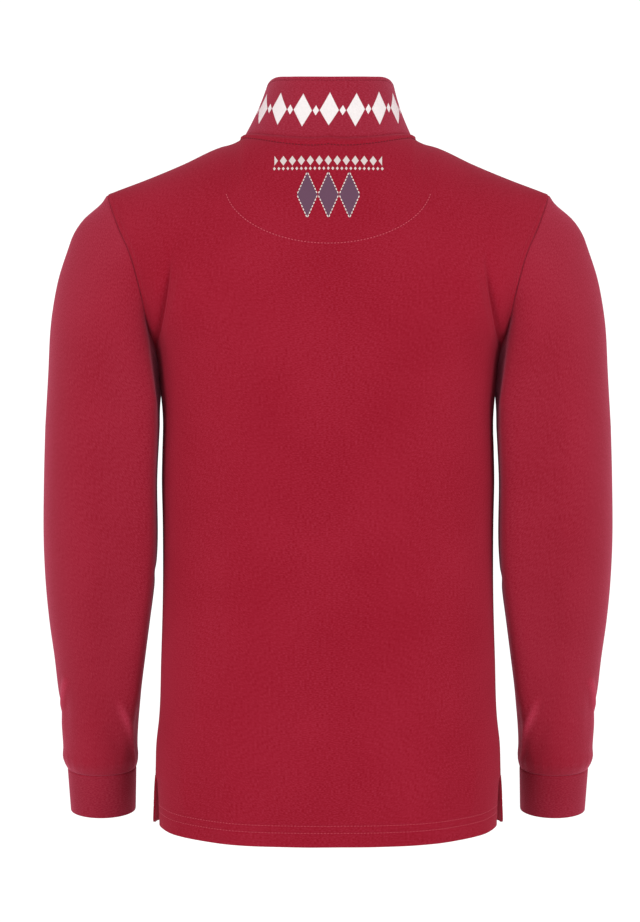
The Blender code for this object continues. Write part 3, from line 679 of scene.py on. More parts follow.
def share_normals(seam, inside, out):
    """Gives both panels the same normals along a seam; inside is the next line of the grid."""
    beside_it = [panel[side][inside] for side in ("back", "front")]
    n = seam_normals(panel["back"][seam], *beside_it, np.array(out))
    out_of["back"][seam] = out_of["front"][seam] = n


for hand in (1, -1):
    at, beside_it = (-1, -2) if hand > 0 else (0, 1)
    rows = slice(UNDERARM_ROW, VENT_ROW + 1)
    share_normals((rows, at), (rows, beside_it), (hand, 0.0, 0.0))
    cols = slice(-shoulder_cols - 1, None) if hand > 0 else slice(0, shoulder_cols + 1)
    share_normals((0, cols), (1, cols), (0.0, 0.0, 1.0))


# Sleeves: one cut piece each, with its seam on the inner side, set into the armhole and
# topstitched there on the body's side. They hang a little forward and narrow to the wrist.

# Sleeve sections below the cap: height of the centre, x and y of the centre,
# half width, half depth, degrees that the forearm leans forward
SLEEVE = (
    (-300, 233, -4, 57.4, 61, 0), (-350, 234.7, -7, 57.3, 60, 1),
    (-430, 235.2, -14, 57.5, 57, 4), (-470, 236.2, -20, 54.7, 54, 6),
    (-500, 237, -25, 51.3, 50.5, 8), (-540, 237.3, -32, 46.1, 46, 10),
    (-575, 237.8, -38, 42, 42, 10), (-592, 237.35, -41, 39.85, 40.6, 10),
    (-610, 238.2, -44, 39, 39.5, 10), (-634, 238.2, -48.5, 37.9, 38.8, 10),
    (-646, 238, -50.5, 38.2, 38.6, 10), (-656, 236.8, -52.2, 34.8, 35.2, 10),
)
CUFF_FOOT = (-701.5, 236.0, -60.0, 32.8, 33.0, 10.0)
SLEEVE_FOOT = SLEEVE[-1][0]
CUFF = 1.2  # half of the cuff's two layers
CORNER, CORNER_POWER = 1.06, 9  # how full the sleeve's inner back corner is, and how square
BY_BODY = ((3.4, -252.0, 26.0), (0.9, -300.0, 40.0))  # fullness by the body: depth, height, reach
GATHERS, GATHER_COUNT = 0.22, 23  # small gathers where the cuff takes the sleeve in
HIGHLIGHT_OVER = 2.0  # creases that stand out more than this get a painted highlight along their ridge

# Outer line of the sleeve cap, from the shoulder tip down: x, height
CAP_LINE = (
    (227, -62), (234, -72), (251, -87), (261.3, -102), (266.9, -117), (276.3, -146),
    (282.1, -175), (285.5, -204), (287.4, -246), (290.4, -300),
)
CAP_SHARES = (0.0, 0.004, 0.009, 0.016, 0.026, 0.04)  # rings close to the armhole seam

# Sleeve creases: hand (0 for both), angle round the sleeve in degrees (0 outermost, 90 at the
# back, 180 by the body) and height at each point along it, half width, depth
SLEEVE_CREASES = (
    (0, ((46, -558), (37, -570), (27, -584), (12, -598)), 4.6, 2.8),
    (0, ((20, -574), (10, -588), (-4, -594)), 3.6, -1.6),
    (1, ((116, -578), (126, -598), (138, -617), (147, -633), (160, -652)), 3, 3),
    (-1, ((117, -576), (125, -597), (138, -616), (148, -634), (161, -651)), 3, 2.9),
    (0, ((134, -572), (142, -594), (156, -612)), 4, -1.4),
    (0, ((106, -604), (116, -622), (130, -642)), 5.5, -0.8),
    (1, ((40, -560), (34, -596), (38, -632)), 8, -0.8),
    (-1, ((44, -566), (36, -598), (40, -630)), 8, -0.8),
    (1, ((150, -440), (172, -452), (196, -446)), 7, -1.2),
    (-1, ((148, -446), (174, -458), (200, -450)), 7, -1.2),
    (0, ((214, -410), (246, -432), (282, -424)), 9, -1.5),
    (1, ((206, -436), (240, -460), (290, -458)), 8, 1.3),
    (-1, ((208, -442), (244, -464), (286, -456)), 8, 1.4),
    (0, ((222, -480), (256, -492), (296, -482)), 8, -1.1),
    (1, ((168, -262), (160, -300), (156, -344)), 8, 1),
    (-1, ((170, -266), (161, -305), (158, -350)), 8, 1),
    (0, ((236, -250), (246, -300), (250, -360)), 9, 1.2),
    (0, ((262, -578), (244, -604), (228, -628)), 6, 1.3),
    (1, ((310, -570), (322, -598), (318, -630)), 7, -0.9),
    (-1, ((306, -566), (320, -596), (316, -628)), 7, -0.9),
)


def armhole_ring(hand):
    """The armhole seam of one hand (+1 left, -1 right): shoulder tip, back, underarm, front."""
    at = -1 if hand > 0 else 0
    back = panel["back"][: UNDERARM_ROW + 1, at]
    front = panel["front"][: UNDERARM_ROW + 1, at]
    return np.concatenate([back, front[-2:0:-1]])


round_sleeve = np.concatenate(
    [math.pi * share_of["back"], 2 * math.pi - math.pi * share_of["front"][-2:0:-1]]
)


def sleeve_ring(cx, cy, rx, ry, lean, z):
    lean = math.radians(float(lean))
    rise = ry * np.sin(round_sleeve)
    x = cx + rx * np.cos(round_sleeve)
    return np.stack([x, cy + rise * math.cos(lean), z - rise * math.sin(lean)], axis=1)


def sleeve_grid(hand):
    """Rings of the sleeve and of its cuff, from the armhole down, each from its outermost point."""
    seam = armhole_ring(hand) * np.array([hand, 1.0, 1.0])
    cos, sin = np.cos(round_sleeve), np.sin(round_sleeve)

    def at_height(z):
        return sleeve_ring(*(column(SLEEVE[::-1], k, z) for k in range(1, 6)), z)

    upper = at_height(SLEEVE[0][0])
    chord = np.linalg.norm(upper - seam, axis=1)[:, None]
    start = unit(np.stack([0.52 + 0.32 * cos, 0.2 * sin, -(0.77 - 0.22 * cos)], axis=1)) * chord
    finish = np.array([0.0, 0.0, -1.0]) * chord * 0.9
    knots, even = np.linspace(0, 1, len(CAP_LINE)), np.linspace(0, 1, 300)
    line = np.stack([through(knots, np.array(CAP_LINE)[:, k], even) for k in (0, 1)], axis=1)
    shares = np.concatenate([CAP_SHARES, np.linspace(0.06, 1.0, 40)])
    outer_line = places(line, shares * along(line)[-1])
    rings = []
    for t, (x, z) in zip(shares, outer_line):
        p = curve(t, seam, upper, start, finish)
        move = np.array([x - p[0, 0], 0.0, z - p[0, 2]])
        rings.append(p + move * (np.clip(cos, 0.0, 1.0) ** 1.5)[:, None])
    close = [-643.5, -646.5, -649.5, -652.0, -653.8, -655.0, SLEEVE_FOOT]
    heights = np.concatenate([np.linspace(-303.0, -641.0, 122), close])
    rings += [at_height(z) for z in heights]
    grid = np.stack(rings)
    top, foot = at_height(SLEEVE_FOOT), sleeve_ring(*CUFF_FOOT[1:], CUFF_FOOT[0])
    first, last = [0.0, 0.016, 0.036, 0.06], [0.955, 0.972, 0.984, 0.993, 1.0]
    parts = np.concatenate([first, np.linspace(0.1, 0.93, 14), last])
    cuff = np.stack([top + (foot - top) * part for part in parts])
    for rows in (grid, cuff):
        rows[..., 0] *= hand
    return grid, cuff


def facing_out(points):
    facing = normals(points, True)
    if ((points - points.mean(axis=1, keepdims=True)) * facing).sum() < 0:
        facing = -facing
    return facing


# the second colour of each is the nap colour, which on the sleeves is also the colour of the
# painted highlight on crease ridges
sleeve_colours, cuff_colours = (
    ((0.268, 0.0048, 0.018), (0.48, 0.035, 0.074)),
    ((0.255, 0.0068, 0.0215), (0.45, 0.036, 0.072)),
)
sleeve_jersey = cloth("cherry jersey of the sleeves", *sleeve_colours, sheen=0.6)
cuff_jersey = cloth("cherry jersey of the cuffs", *cuff_colours, sheen=0.5, loop=0.001)

sleeves = {}
for hand in (1, -1):
    at, beside_it = (-1, -2) if hand > 0 else (0, 1)
    grid, cuff = sleeve_grid(hand)
    facing = facing_out(grid)
    degrees = np.degrees(round_sleeve)
    middles = grid.mean(axis=1)
    radius = np.linalg.norm(grid - middles[:, None], axis=-1).mean(axis=1)[:, None]
    heights = grid[..., 2]
    push, painted_highlight = np.zeros(grid.shape[:2]), np.zeros(grid.shape[:2])
    for which, line, wide, deep in SLEEVE_CREASES:
        if which in (0, hand):
            middle = line[1][0]
            turned = np.radians((degrees - middle + 180.0) % 360.0 - 180.0)
            flat = np.stack([turned * radius, heights], axis=-1)
            local = [np.interp(-z, -middles[:, 2], radius[:, 0]) for _, z in line]
            path = [(math.radians(a - middle) * r, z) for (a, z), r in zip(line, local)]
            away, where = beside(flat, path)
            fade = np.clip(1.4 * np.sin(math.pi * where), 0.0, 1.0)
            push += deep * fade * hump(away, 0.0, wide)
            # a painted highlight along the ridge of each crease that stands out far enough
            if deep > HIGHLIGHT_OVER:
                painted_highlight = np.maximum(painted_highlight, 0.7 * fade * hump(away, 0.0, 0.85 * wide))
    cos, sin = np.abs(np.cos(round_sleeve)), np.abs(np.sin(round_sleeve))
    squared = (cos**CORNER_POWER + sin**CORNER_POWER) ** (-1 / CORNER_POWER) - 1.0
    corner = np.where((degrees > 90) & (degrees < 180), squared, 0.0)
    push += radius * corner * ramp(along(grid), 75.0) * ramp(heights + 655.0, 70.0) * CORNER
    by_body = hump(degrees, 180.0, 26.0)
    for fuller, height, tall in BY_BODY:
        push += by_body * fuller * hump(heights, height, tall)
    gathers = GATHERS * np.sin(GATHER_COUNT * round_sleeve + 0.8 * np.sin(3 * round_sleeve))
    gathers = gathers * hump(heights, -650.0, 7.0)
    grid = grid + facing * ((push + gathers) * ramp(along(grid), 12.0))[..., None]
    facing = facing_out(grid)
    seam = armhole_ring(hand)
    inner = [panel["back"][: UNDERARM_ROW + 1, beside_it]]
    inner = np.concatenate(inner + [panel["front"][UNDERARM_ROW - 1 : 0 : -1, beside_it]])
    inner[0] = (panel["back"][0, beside_it] + panel["front"][0, beside_it]) / 2
    inner[UNDERARM_ROW] = panel["back"][UNDERARM_ROW + 1, at]
    n = seam_normals(seam, inner, grid[1], seam - seam.mean(axis=0), closed=True)
    facing[0] = n
    out_of["back"][: UNDERARM_ROW + 1, at] = n[: UNDERARM_ROW + 1]
    out_of["front"][: UNDERARM_ROW + 1, at] = np.concatenate([n[:1], n[: UNDERARM_ROW - 1 : -1]])
    cuff_facing = facing_out(cuff)
    share = unit(facing[-2] + cuff_facing[1])
    facing[-1] = cuff_facing[0] = share
    sleeves[hand] = (grid, facing, cuff, cuff_facing, painted_highlight)

# The panels' faces: sunk at each seam, a little raised over its allowance, drawn in by topstitches
for side in ("back", "front"):
    grid, facing = panel[side], out_of[side]
    down, across = along(grid), along(grid, axis=1)
    edge = np.minimum(across, across[:, -1:] - across)
    to_hem = down[-1:] - down
    is_neck = np.zeros(grid.shape[1], bool)
    is_neck[shoulder_cols : grid.shape[1] - shoulder_cols] = True
    upper = (np.arange(grid.shape[0]) <= UNDERARM_ROW)[:, None]
    vent = (np.arange(grid.shape[0]) > VENT_ROW)[:, None]
    by_neck = np.where(is_neck, 1.0, 0.0)[None]
    outer = JERSEY - SEAM_SINK * hump(down, 0.0, 1.2)
    fuller = 1.0 + 0.7 * ramp(np.abs(grid[..., 0]), NECK_HALF_WIDTH) ** 5
    outer += by_neck * (fuller * hump(down, 6.4, 3.2) - 0.55 * hump(down, TOPSTITCH, 1.2))
    armhole = upper * ramp(down, 8.0)
    outer += armhole * (0.15 * hump(edge, 3.2, 2.0) - 0.15 * hump(edge, ARMHOLE_STITCH, 0.9))
    sink = np.where(vent, 0.0, np.where(upper, SEAM_SINK, 0.8))
    outer -= sink * hump(edge, 0.0, 0.8) * ramp(down, 2.0)
    outer -= vent * 0.3 * hump(edge, VENT_STITCH, 0.9)
    for stitch in HEM_STITCHES:
        outer -= 0.3 * hump(to_hem, stitch, 1.0)
    outer = np.maximum(outer, 0.06)
    turned_up = ramp(HEM_TURN - to_hem, 1.5)
    turned_in = ramp(ALLOWANCE - edge, 1.5) * vent
    allowance = ramp(ALLOWANCE - np.minimum(down, np.where(vent, 99.0, edge)), 1.5)
    allowance = np.maximum(allowance, by_neck * ramp(TOPSTITCH + 2.0 - down, 1.5))
    inner = -0.1 - 0.9 * np.maximum(np.maximum(turned_up, turned_in), allowance)
    outer_of[side] = grid + facing * outer[..., None]
    cut = np.ones((grid.shape[0] - 1, grid.shape[1] - 1), bool)
    if side == "front":
        middle = grid.shape[1] // 2
        slit = SLIT_LENGTH * down[UNDERARM_ROW, middle]
        slit_row = int(np.argmin(np.abs(down[:, middle] - slit)))
        cut[:slit_row, middle - 1] = False
    outside = back_jersey if side == "back" else cherry_jersey
    finishes = [outside, jersey_reverse_painted_lighter]
    made = wall(f"{side}_panel", grid, facing, outer, inner, finishes, keep=cut)
    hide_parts(side)
    size, area = ((0.55, 0.74), 0.34) if side == "back" else ((0.55, 0.72), 0.325)
    panel[side + " piece"] = made



def to_underarm(grid):
    """How far each point of a closed grid lies from its underarm seam, round the ring."""
    ring = np.concatenate([grid, grid[:, :1]], axis=1)
    run = along(ring, axis=1)[:, :-1]
    return np.abs(run - run[:, UNDERARM_ROW][:, None])


for hand, label in ((1, "left"), (-1, "right")):
    grid, facing, cuff, cuff_facing, painted_highlight = sleeves[hand]
    down, to_seam = along(grid), to_underarm(grid)
    outer = JERSEY - SEAM_SINK * hump(down, 0.0, 0.8) - 0.6 * hump(to_seam, 0.0, 1.1)
    outer = np.maximum(outer - 0.7 * hump(down[-1:] - down, 0.0, 1.0), 0.06)
    inner = -0.1 - 0.9 * ramp(SLEEVE_ALLOWANCE - np.minimum(down, to_seam), 1.5)
    made = wall(
        f"{label}_sleeve", grid, facing, outer, inner, [sleeve_jersey, jersey_reverse_painted_lighter],
        closed=True, painted_highlight=painted_highlight,
    )
    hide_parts(f"sleeve_{label}")
    # Cuff: a plain band of two layers, folded at its foot
    down = along(cuff)
    thick = CUFF * (0.25 + 0.75 * rounding(down[-1:] - down, 1.2))
    outer = thick - 0.9 * hump(down, 0.0, 1.0) - 0.6 * hump(to_underarm(cuff), 0.0, 1.1)
    made = wall(
        f"{label}_cuff", cuff, cuff_facing, outer, -thick, [cuff_jersey], closed=True
    )
    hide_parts(f"cuff_{label}")


# Collar: two layers of jersey with a light interlining, worn standing up. It is joined to the
# neck by one seam, and its edge is topstitched. A band of plain printed lozenges runs round it.
COLLAR = 1.3  # half of its thickness
COLLAR_STITCH = 4.6  # from its edge
COLLAR_SHIFT = 2.6  # it stands a little to the wearer's right
# Share of the way from the centre back to the front end of its seam; the edge's x, y, height
COLLAR_EDGE = (
    (0, 0, 45, 54), (0.13, 22, 42, 54.5), (0.26, 40.6, 31.5, 55.8), (0.38, 55.2, 12, 57.6),
    (0.5, 63.4, -13, 54.6), (0.63, 64.4, -41, 47), (0.78, 57, -70, 31), (0.9, 52, -93, 10),
    (1, 45, -114, -14),
)
neck_back = panel["back"][0, shoulder_cols : shoulder_cols + 2 * neck_cols + 1]
half_front = panel["front"].shape[1] // 2
front_left = panel["front"][0, half_front : half_front + neck_cols + 1]
front_right = panel["front"][0, half_front - 1 - neck_cols : half_front]
base = np.concatenate([front_right[::-1], neck_back[1:-1], front_left[::-1]])
ends = len(base) // 2
share = np.abs(np.arange(len(base)) - ends) / ends
edge = np.stack([column(COLLAR_EDGE, k, share) for k in (1, 2, 3)], axis=1)
edge[:, 0] *= np.sign(base[:, 0] + 1e-9)
edge[ends, 0] = 0.0
edge[:, 0] -= COLLAR_SHIFT
first, last = [0.0, 0.01, 0.025, 0.05], [0.905, 0.93, 0.945, 0.96, 0.975, 0.985, 0.993, 1.0]
height = np.concatenate([first, np.linspace(0.09, 0.88, 22), last])
collar = base + (edge - base) * height[:, None, None]
away = unit((edge + base) / 2 * np.array([1.0, 1.0, 0.0]) - np.array([0.0, -10.0, 0.0]))
collar -= away * (1.6 * np.sin(math.pi * height))[:, None, None]
facing = turned_to(normals(collar), (10, ends))
ring = {}
for side in ("back", "front"):
    arc = neck_arc(side, np.arange(neck_cols + 1) / neck_cols, 10.0)[:, :3]
    arc[:, 1] = SEAM_Y + arc[:, 1] * SIGN[side]
    ring[side] = arc
below = np.concatenate([ring["front"], ring["back"][-2::-1]])
below = np.concatenate([below[:-1] * np.array([-1.0, 1.0, 1.0]), below[::-1]])
facing[0] = seam_normals(base, collar[1], below, away)
down = along(collar)
run = along(collar, axis=1)
to_edge = np.minimum(down[-1:] - down, np.minimum(run, run[:, -1:] - run))
thick = COLLAR * (0.3 + 0.7 * rounding(to_edge, 1.3))
outer = thick - 1.0 * hump(down, 0.0, 1.2) - 0.3 * hump(to_edge, COLLAR_STITCH, 0.9)


def round_collar(tree):
    place = node(tree, "UVMap", uv_map="cloth").outputs[0]
    parted = node(tree, "SeparateXYZ", (0, place)).outputs
    return parted[0], calc(tree, "MULTIPLY", parted[1], -1.0)


WHITE_INK = (0.88, 0.84, 0.83)
collar_jersey = printed(
    cloth("cherry jersey of the collar", (0.265, 0.0075, 0.0225), (0.465, 0.038, 0.075)),
    round_collar,
    [(WHITE_INK, 0.12, [(27.0, 0.0, 29.5, 9.6, 18.0, 400.0), (27.0, 13.5, 29.5, 3.2, 5.6, 400.0)])],
)
inside = ((0.255, 0.0072, 0.0215), (0.45, 0.036, 0.072))
finishes = [collar_jersey, cloth("cherry jersey inside the collar", *inside)]
made = wall("standing_collar", collar, facing, outer, -thick, finishes)
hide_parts("collar")
collar_outer = collar + facing * outer[..., None]
collar_facing = facing


# Placket: two narrow strips of jersey beside the front slit, the upper one lapped over the
# under one. Each is folded double and edge-stitched, with a box sewn across its foot.
PLACKET_LENGTH = 9 / 12
PLACKET_SIDE = (11.5, 12.6, 13.5, 14.3, 15.0, 15.6, 16.0)  # columns by its edge, from the middle
STRIP = 0.8  # half of its two layers
STRIP_OFF = JERSEY + 0.3 + STRIP
grid, facing = panel["front"], out_of["front"]
down = along(grid)[:, half_front]
last_row = int(np.argmin(np.abs(down - PLACKET_LENGTH * down[UNDERARM_ROW])))
by_edge = np.array(PLACKET_SIDE)
across = np.concatenate([-by_edge[::-1], np.linspace(-10, 10, 13), by_edge])
reach = np.abs(across)
mirror = np.stack([np.sign(across), np.ones_like(across), np.ones_like(across)], axis=1)
strip, strip_facing = [], []
for row in range(last_row + 1):
    line, turned = grid[row, half_front:], facing[row, half_front:]
    line = np.concatenate([line[:1] * np.array([0.0, 1.0, 1.0]), line])
    turned = np.concatenate([unit(turned[:1] * np.array([0.0, 1.0, 1.0])), turned])
    points, towards = (
        np.stack([np.interp(reach, line[:, 0], of[:, k]) for k in range(3)], axis=1)
        for of in (line, turned)
    )
    strip.append(points * mirror)
    strip_facing.append(unit(towards) * mirror)
strip, strip_facing = np.stack(strip), np.stack(strip_facing)
down, run = along(strip), along(strip, axis=1)
to_edge = np.minimum(np.minimum(run, run[:, -1:] - run), down[-1:] - down)
thick = STRIP * (0.3 + 0.7 * rounding(to_edge, 1.0))
placket_jersey = cloth("cherry jersey of the placket", (0.265, 0.0062, 0.0205), CHERRY_NAP)
for label, offset in (("upper", STRIP_OFF), ("under", -STRIP_OFF)):
    outer = offset + thick - 0.25 * hump(to_edge, 2.2, 0.7)
    made = wall(
        f"{label}_placket_strip", strip, strip_facing, outer, offset - thick, [placket_jersey],
    )
    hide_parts(f"placket_{label}")
strip_outer = strip + strip_facing * (STRIP_OFF + STRIP)


# Buttons: three dyed plastic buttons with a turned rim, a sunk middle and four holes, sewn to the
# under strip and fastened through the upper one.
BUTTON_RADIUS, BUTTON_THICK = 5.8, 2.6
BUTTON_GAP = 0.55  # from the placket's face, on the shank of its thread
BUTTON_AT = (0.14, 0.47, 0.80)
HOLE_AT, HOLE_RADIUS = 1.15, 0.72
SIDES = 56
button_finish, tree, shader = new_finish("dyed button plastic", ("Coat Weight", 0.25))
spot = object_place(tree)
swirl = noise(tree, spot, 160.0, 3.0, 1.5)
swirl = blend(tree, swirl, (0.2, 0.012, 0.026, 1), (0.36, 0.03, 0.056, 1))
scuffs = spread(tree, noise(tree, spot, 2400.0, 2.0), 0.0, 1.0, 0.26, 0.44)
feed(tree, shader, Base_Color=swirl, Roughness=scuffs)
button_places = []
for i, part in enumerate(BUTTON_AT):
    middle = strip.shape[1] // 2
    line = np.concatenate([strip[:, middle], strip_facing[:, middle]], axis=1)
    found = places(line, [part * along(line)[-1]])[0]
    up = unit(found[3:])
    spot = found[:3] + up * (STRIP_OFF + STRIP + BUTTON_GAP)
    button_places.append((spot, up))
    r, t = BUTTON_RADIUS, BUTTON_THICK
    profile = [
        (0, t - 1.0), (r - 2.5, t - 1.0), (r - 2.1, t - 0.9), (r - 1.7, t - 0.35),
        (r - 1.35, t - 0.08), (r - 1.0, t), (r - 0.55, t - 0.04), (r - 0.2, t - 0.3),
        (r, t - 0.8), (r - 0.1, t - 1.5), (r - 0.6, 0.35), (r - 1.2, 0.0), (0, 0),
    ]
    turn = [2 * math.pi * k / SIDES for k in range(SIDES)]
    verts = [(0, 0, profile[0][1])]
    for x, z in profile[1:-1]:
        verts += [(x * math.cos(angle), x * math.sin(angle), z) for angle in turn]
    verts.append((0, 0, 0))
    pairs = [(k, (k + 1) % SIDES) for k in range(SIDES)]
    faces = [(0, 1 + k, 1 + n) for k, n in pairs]
    for a in range(1, 1 + (len(profile) - 3) * SIDES, SIDES):
        faces += [(a + k, a + SIDES + k, a + SIDES + n, a + n) for k, n in pairs]
    a = 1 + (len(profile) - 3) * SIDES
    faces += [(a + k, len(verts) - 1, a + n) for k, n in pairs]
    mesh = bpy.data.meshes.new(f"shirt_button_{i + 1}")
    mesh.from_pydata(verts, [], faces)
    button = bpy.data.objects.new(f"shirt_button_{i + 1}", mesh)
    bpy.context.scene.collection.objects.link(button)
    mesh.materials.append(button_finish)
    drill = bpy.data.meshes.new("drill")
    holes = bmesh.new()
    for x, y in ((1, 1), (-1, 1), (1, -1), (-1, -1)):
        bmesh.ops.create_cone(
            holes, cap_ends=True, segments=16, radius1=HOLE_RADIUS, radius2=HOLE_RADIUS, depth=8,
            matrix=Matrix.Translation((x * HOLE_AT, y * HOLE_AT, 1)),
        )
    holes.to_mesh(drill)
    holes.free()
    drill = bpy.data.objects.new("drill", drill)
    bpy.context.scene.collection.objects.link(drill)
    bored = button.modifiers.new("four holes", "BOOLEAN")
    bored.operation, bored.solver, bored.object = "DIFFERENCE", "EXACT", drill
    bpy.context.view_layer.update()
    bored_now = button.evaluated_get(bpy.context.evaluated_depsgraph_get())
    done = bpy.data.meshes.new_from_object(bored_now)
    button.modifiers.clear()
    bpy.data.objects.remove(drill, do_unlink=True)
    x_axis = unit(np.cross(np.array([0.0, 0.0, 1.0]), up))
    axes = Matrix([[*x_axis], [*np.cross(up, x_axis)], [*up]]).transposed().to_4x4()
    done.transform(Matrix.Translation(Vector(spot * MM)) @ axes @ Matrix.Scale(MM, 4))
    button.data = done
    done.name = button.name
    done.shade_smooth()
    done.set_sharp_from_angle(angle=math.radians(40))
    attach(button, "root")
    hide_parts(f"button_{i + 1}")


# Stitching: lock stitches of spun thread that lie along the seams, each a short arched piece of
# thread whose ends go down into the cloth.
def stitches(name, lines, length, skip, thick, finish, slot, sink=0.25, rise=0.12):
    """Stitches along lines, each a pair of arrays: points on the cloth's face and their normals."""
    sides, steps = 6, np.array([0.0, 0.14, 0.5, 0.86, 1.0])
    lift = np.array([-sink, 0.6 * rise, rise, 0.6 * rise, -sink])
    girth = np.array([0.75, 1.0, 1.0, 1.0, 0.75])
    verts, faces = [], []
    for points, facing in lines:
        both = np.concatenate([points, facing], axis=1)
        total = along(both[:, :3])[-1]
        count = max(1, int(total // (length + skip)))
        first = (total - count * (length + skip) + skip) / 2 + np.arange(count) * (length + skip)
        at = (first[:, None] + steps * length).ravel()
        centre = places(both, at).reshape(count, len(steps), 6)
        up = unit(centre[..., 3:])
        middle = centre[..., :3] + up * lift[:, None]
        ahead = unit(np.gradient(middle, axis=1))
        side_way = unit(np.cross(ahead, up))
        up = np.cross(side_way, ahead)
        turn = 2 * math.pi * np.arange(sides)[:, None] / sides
        circle = side_way[:, :, None] * np.cos(turn) + up[:, :, None] * np.sin(turn)
        body = middle[:, :, None] + circle * (girth * thick / 2)[:, None, None]
        start = sum(len(v) for v in verts)
        verts.append(body.reshape(-1, 3))
        pieces = (np.arange(count), np.arange(len(steps) - 1), np.arange(sides))
        s, j, k = np.meshgrid(*pieces, indexing="ij")
        one = start + (s * len(steps) + j) * sides
        n = (k + 1) % sides
        quads = np.stack([one + k, one + n, one + sides + n, one + sides + k], axis=-1)
        faces += quads.reshape(-1, 4).tolist()
        for s in range(count):
            a = start + s * len(steps) * sides
            b = a + (len(steps) - 1) * sides
            faces += [list(range(a + sides - 1, a - 1, -1)), list(range(b, b + sides))]
    mesh = bpy.data.meshes.new(name)
    mesh.from_pydata((np.concatenate(verts) * MM).tolist(), [], faces)
    mesh.materials.append(finish)
    mesh.shade_smooth()
    mesh.update()
    return as_piece(name, mesh)


def thread(name, colour, pale):
    """Spun sewing thread: two plies that wind round each other, with a slight gloss."""
    finish, tree, shader = new_finish(name, ("Specular IOR Level", 0.2))
    fibres = noise(tree, object_place(tree), 2600.0, 2.0)
    dyed = blend(tree, fibres, (*colour, 1), (*pale, 1))
    rough = spread(tree, fibres, 0.0, 1.0, 0.5, 0.8)
    settings = (("Height", fibres), ("Distance", 0.00006), ("Strength", 0.6))
    plies = node(tree, "Bump", *settings).outputs[0]
    feed(tree, shader, Base_Color=dyed, Roughness=rough, Normal=plies)
    return finish


cherry_thread = thread("cherry thread", (0.27, 0.008, 0.022), (0.44, 0.034, 0.066))
pale_thread = thread("paler cherry thread", (0.45, 0.045, 0.08), (0.66, 0.13, 0.18))
# this thread is painted darker than the cloth's own cherry to stand for the shade in its needle
# dimples
thread_painted_dark = thread("cherry thread painted dark as shade", (0.11, 0.003, 0.009), (0.2, 0.01, 0.022))
cream_thread = thread("cream thread", (0.72, 0.6, 0.56), (0.9, 0.82, 0.78))


def row_at(distances, from_edge):
    return int(np.argmin(np.abs(np.array(distances) - from_edge)))


def grid_line(points, facing, rows, cols):
    return points[rows, cols].reshape(-1, 3), facing[rows, cols].reshape(-1, 3)


def panel_line(side, rows, cols):
    return grid_line(outer_of[side], out_of[side], rows, cols)


def by_sides(from_edge, rows):
    """Lines at this distance from both sides of the back and the front."""
    col = row_at(BY_SIDE, from_edge)
    return [panel_line(side, rows, at) for side in ("back", "front") for at in (col, -1 - col)]


# Neck topstitch, below the collar's seam all round but for the placket, in thread painted dark to
# stand for the shade in its needle dimples
row = row_at(BY_NECK, TOPSTITCH)
lines = [
    panel_line("back", row, slice(shoulder_cols, -shoulder_cols)),
    panel_line("front", row, slice(shoulder_cols, half_front - 4)),
    panel_line("front", row, slice(half_front + 4, -shoulder_cols)),
]
stitches("neck_topstitch", lines, 1.5, 1.8, 1.1, thread_painted_dark, "jersey", rise=0.3)

# Armhole topstitches, on the body's side of the seam
lines = by_sides(ARMHOLE_STITCH, slice(6, UNDERARM_ROW - 2))
stitches("armhole_topstitch", lines, 2.3, 0.9, 0.4, cherry_thread, "jersey")

# Hem, sewn with a twin needle
rows = [row_at(BY_HEM, at) - len(BY_HEM) for at in HEM_STITCHES]
lines = [panel_line(side, row, slice(4, -4)) for side in ("back", "front") for row in rows]
stitches("hem_stitching", lines, 1.8, 1.5, 0.44, pale_thread, "jersey", rise=0.14)

# Side vents, edge-stitched, with a bar tack across the top of each
lines = by_sides(VENT_STITCH, slice(VENT_ROW, -4))
stitches("vent_stitching", lines, 2.2, 1.0, 0.4, cherry_thread, "jersey")
lines = []
for at, step in ((0, 1), (-1, -1)):
    cols = [at + step * k for k in range(7)]
    for row in (VENT_ROW - 1, VENT_ROW, VENT_ROW + 1):
        both = [(of["back"][row, cols[::-1]], of["front"][row, cols]) for of in (outer_of, out_of)]
        lines.append([np.concatenate(pair) for pair in both])
stitches("vent_tacks", lines, 10.0, 0.5, 0.6, cherry_thread, "jersey", rise=0.3)

# Collar edge, stitched a presser foot's width in, in the same thread painted dark as shade
both = np.concatenate([collar_outer, collar_facing], axis=2)
down, run = along(collar_outer), along(collar_outer, axis=1)
halfway = run[len(run) // 2]
inside = (halfway > COLLAR_STITCH) & (halfway < halfway[-1] - COLLAR_STITCH)
below = down.max(axis=1) <= down[-1].max() - COLLAR_STITCH
top = [places(both[:, k], [down[-1, k] - COLLAR_STITCH])[0] for k in np.nonzero(inside)[0]]
one_end = [places(both[row], [COLLAR_STITCH])[0] for row in np.nonzero(below)[0]]
other_end = [places(both[row], [run[row, -1] - COLLAR_STITCH])[0] for row in np.nonzero(below)[0]]
lines = [np.array(found) for found in (top, one_end, other_end)]
lines = [(found[:, :3], unit(found[:, 3:])) for found in lines]
stitches("collar_edge_stitch", lines, 2.2, 0.9, 0.4, thread_painted_dark, "collar_cloth")

# Placket edges, and the box across its foot
lines = [grid_line(strip_outer, strip_facing, slice(3, -2), k) for k in (4, strip.shape[1] - 5)]
down = along(strip)[:, 9]
for up_by in (2.2, 14.0):
    row = row_at(down, down[-1] - up_by)
    lines.append(grid_line(strip_outer, strip_facing, row, slice(4, -4)))
stitches("placket_stitching", lines, 2.2, 0.9, 0.4, cherry_thread, "placket_cloth")

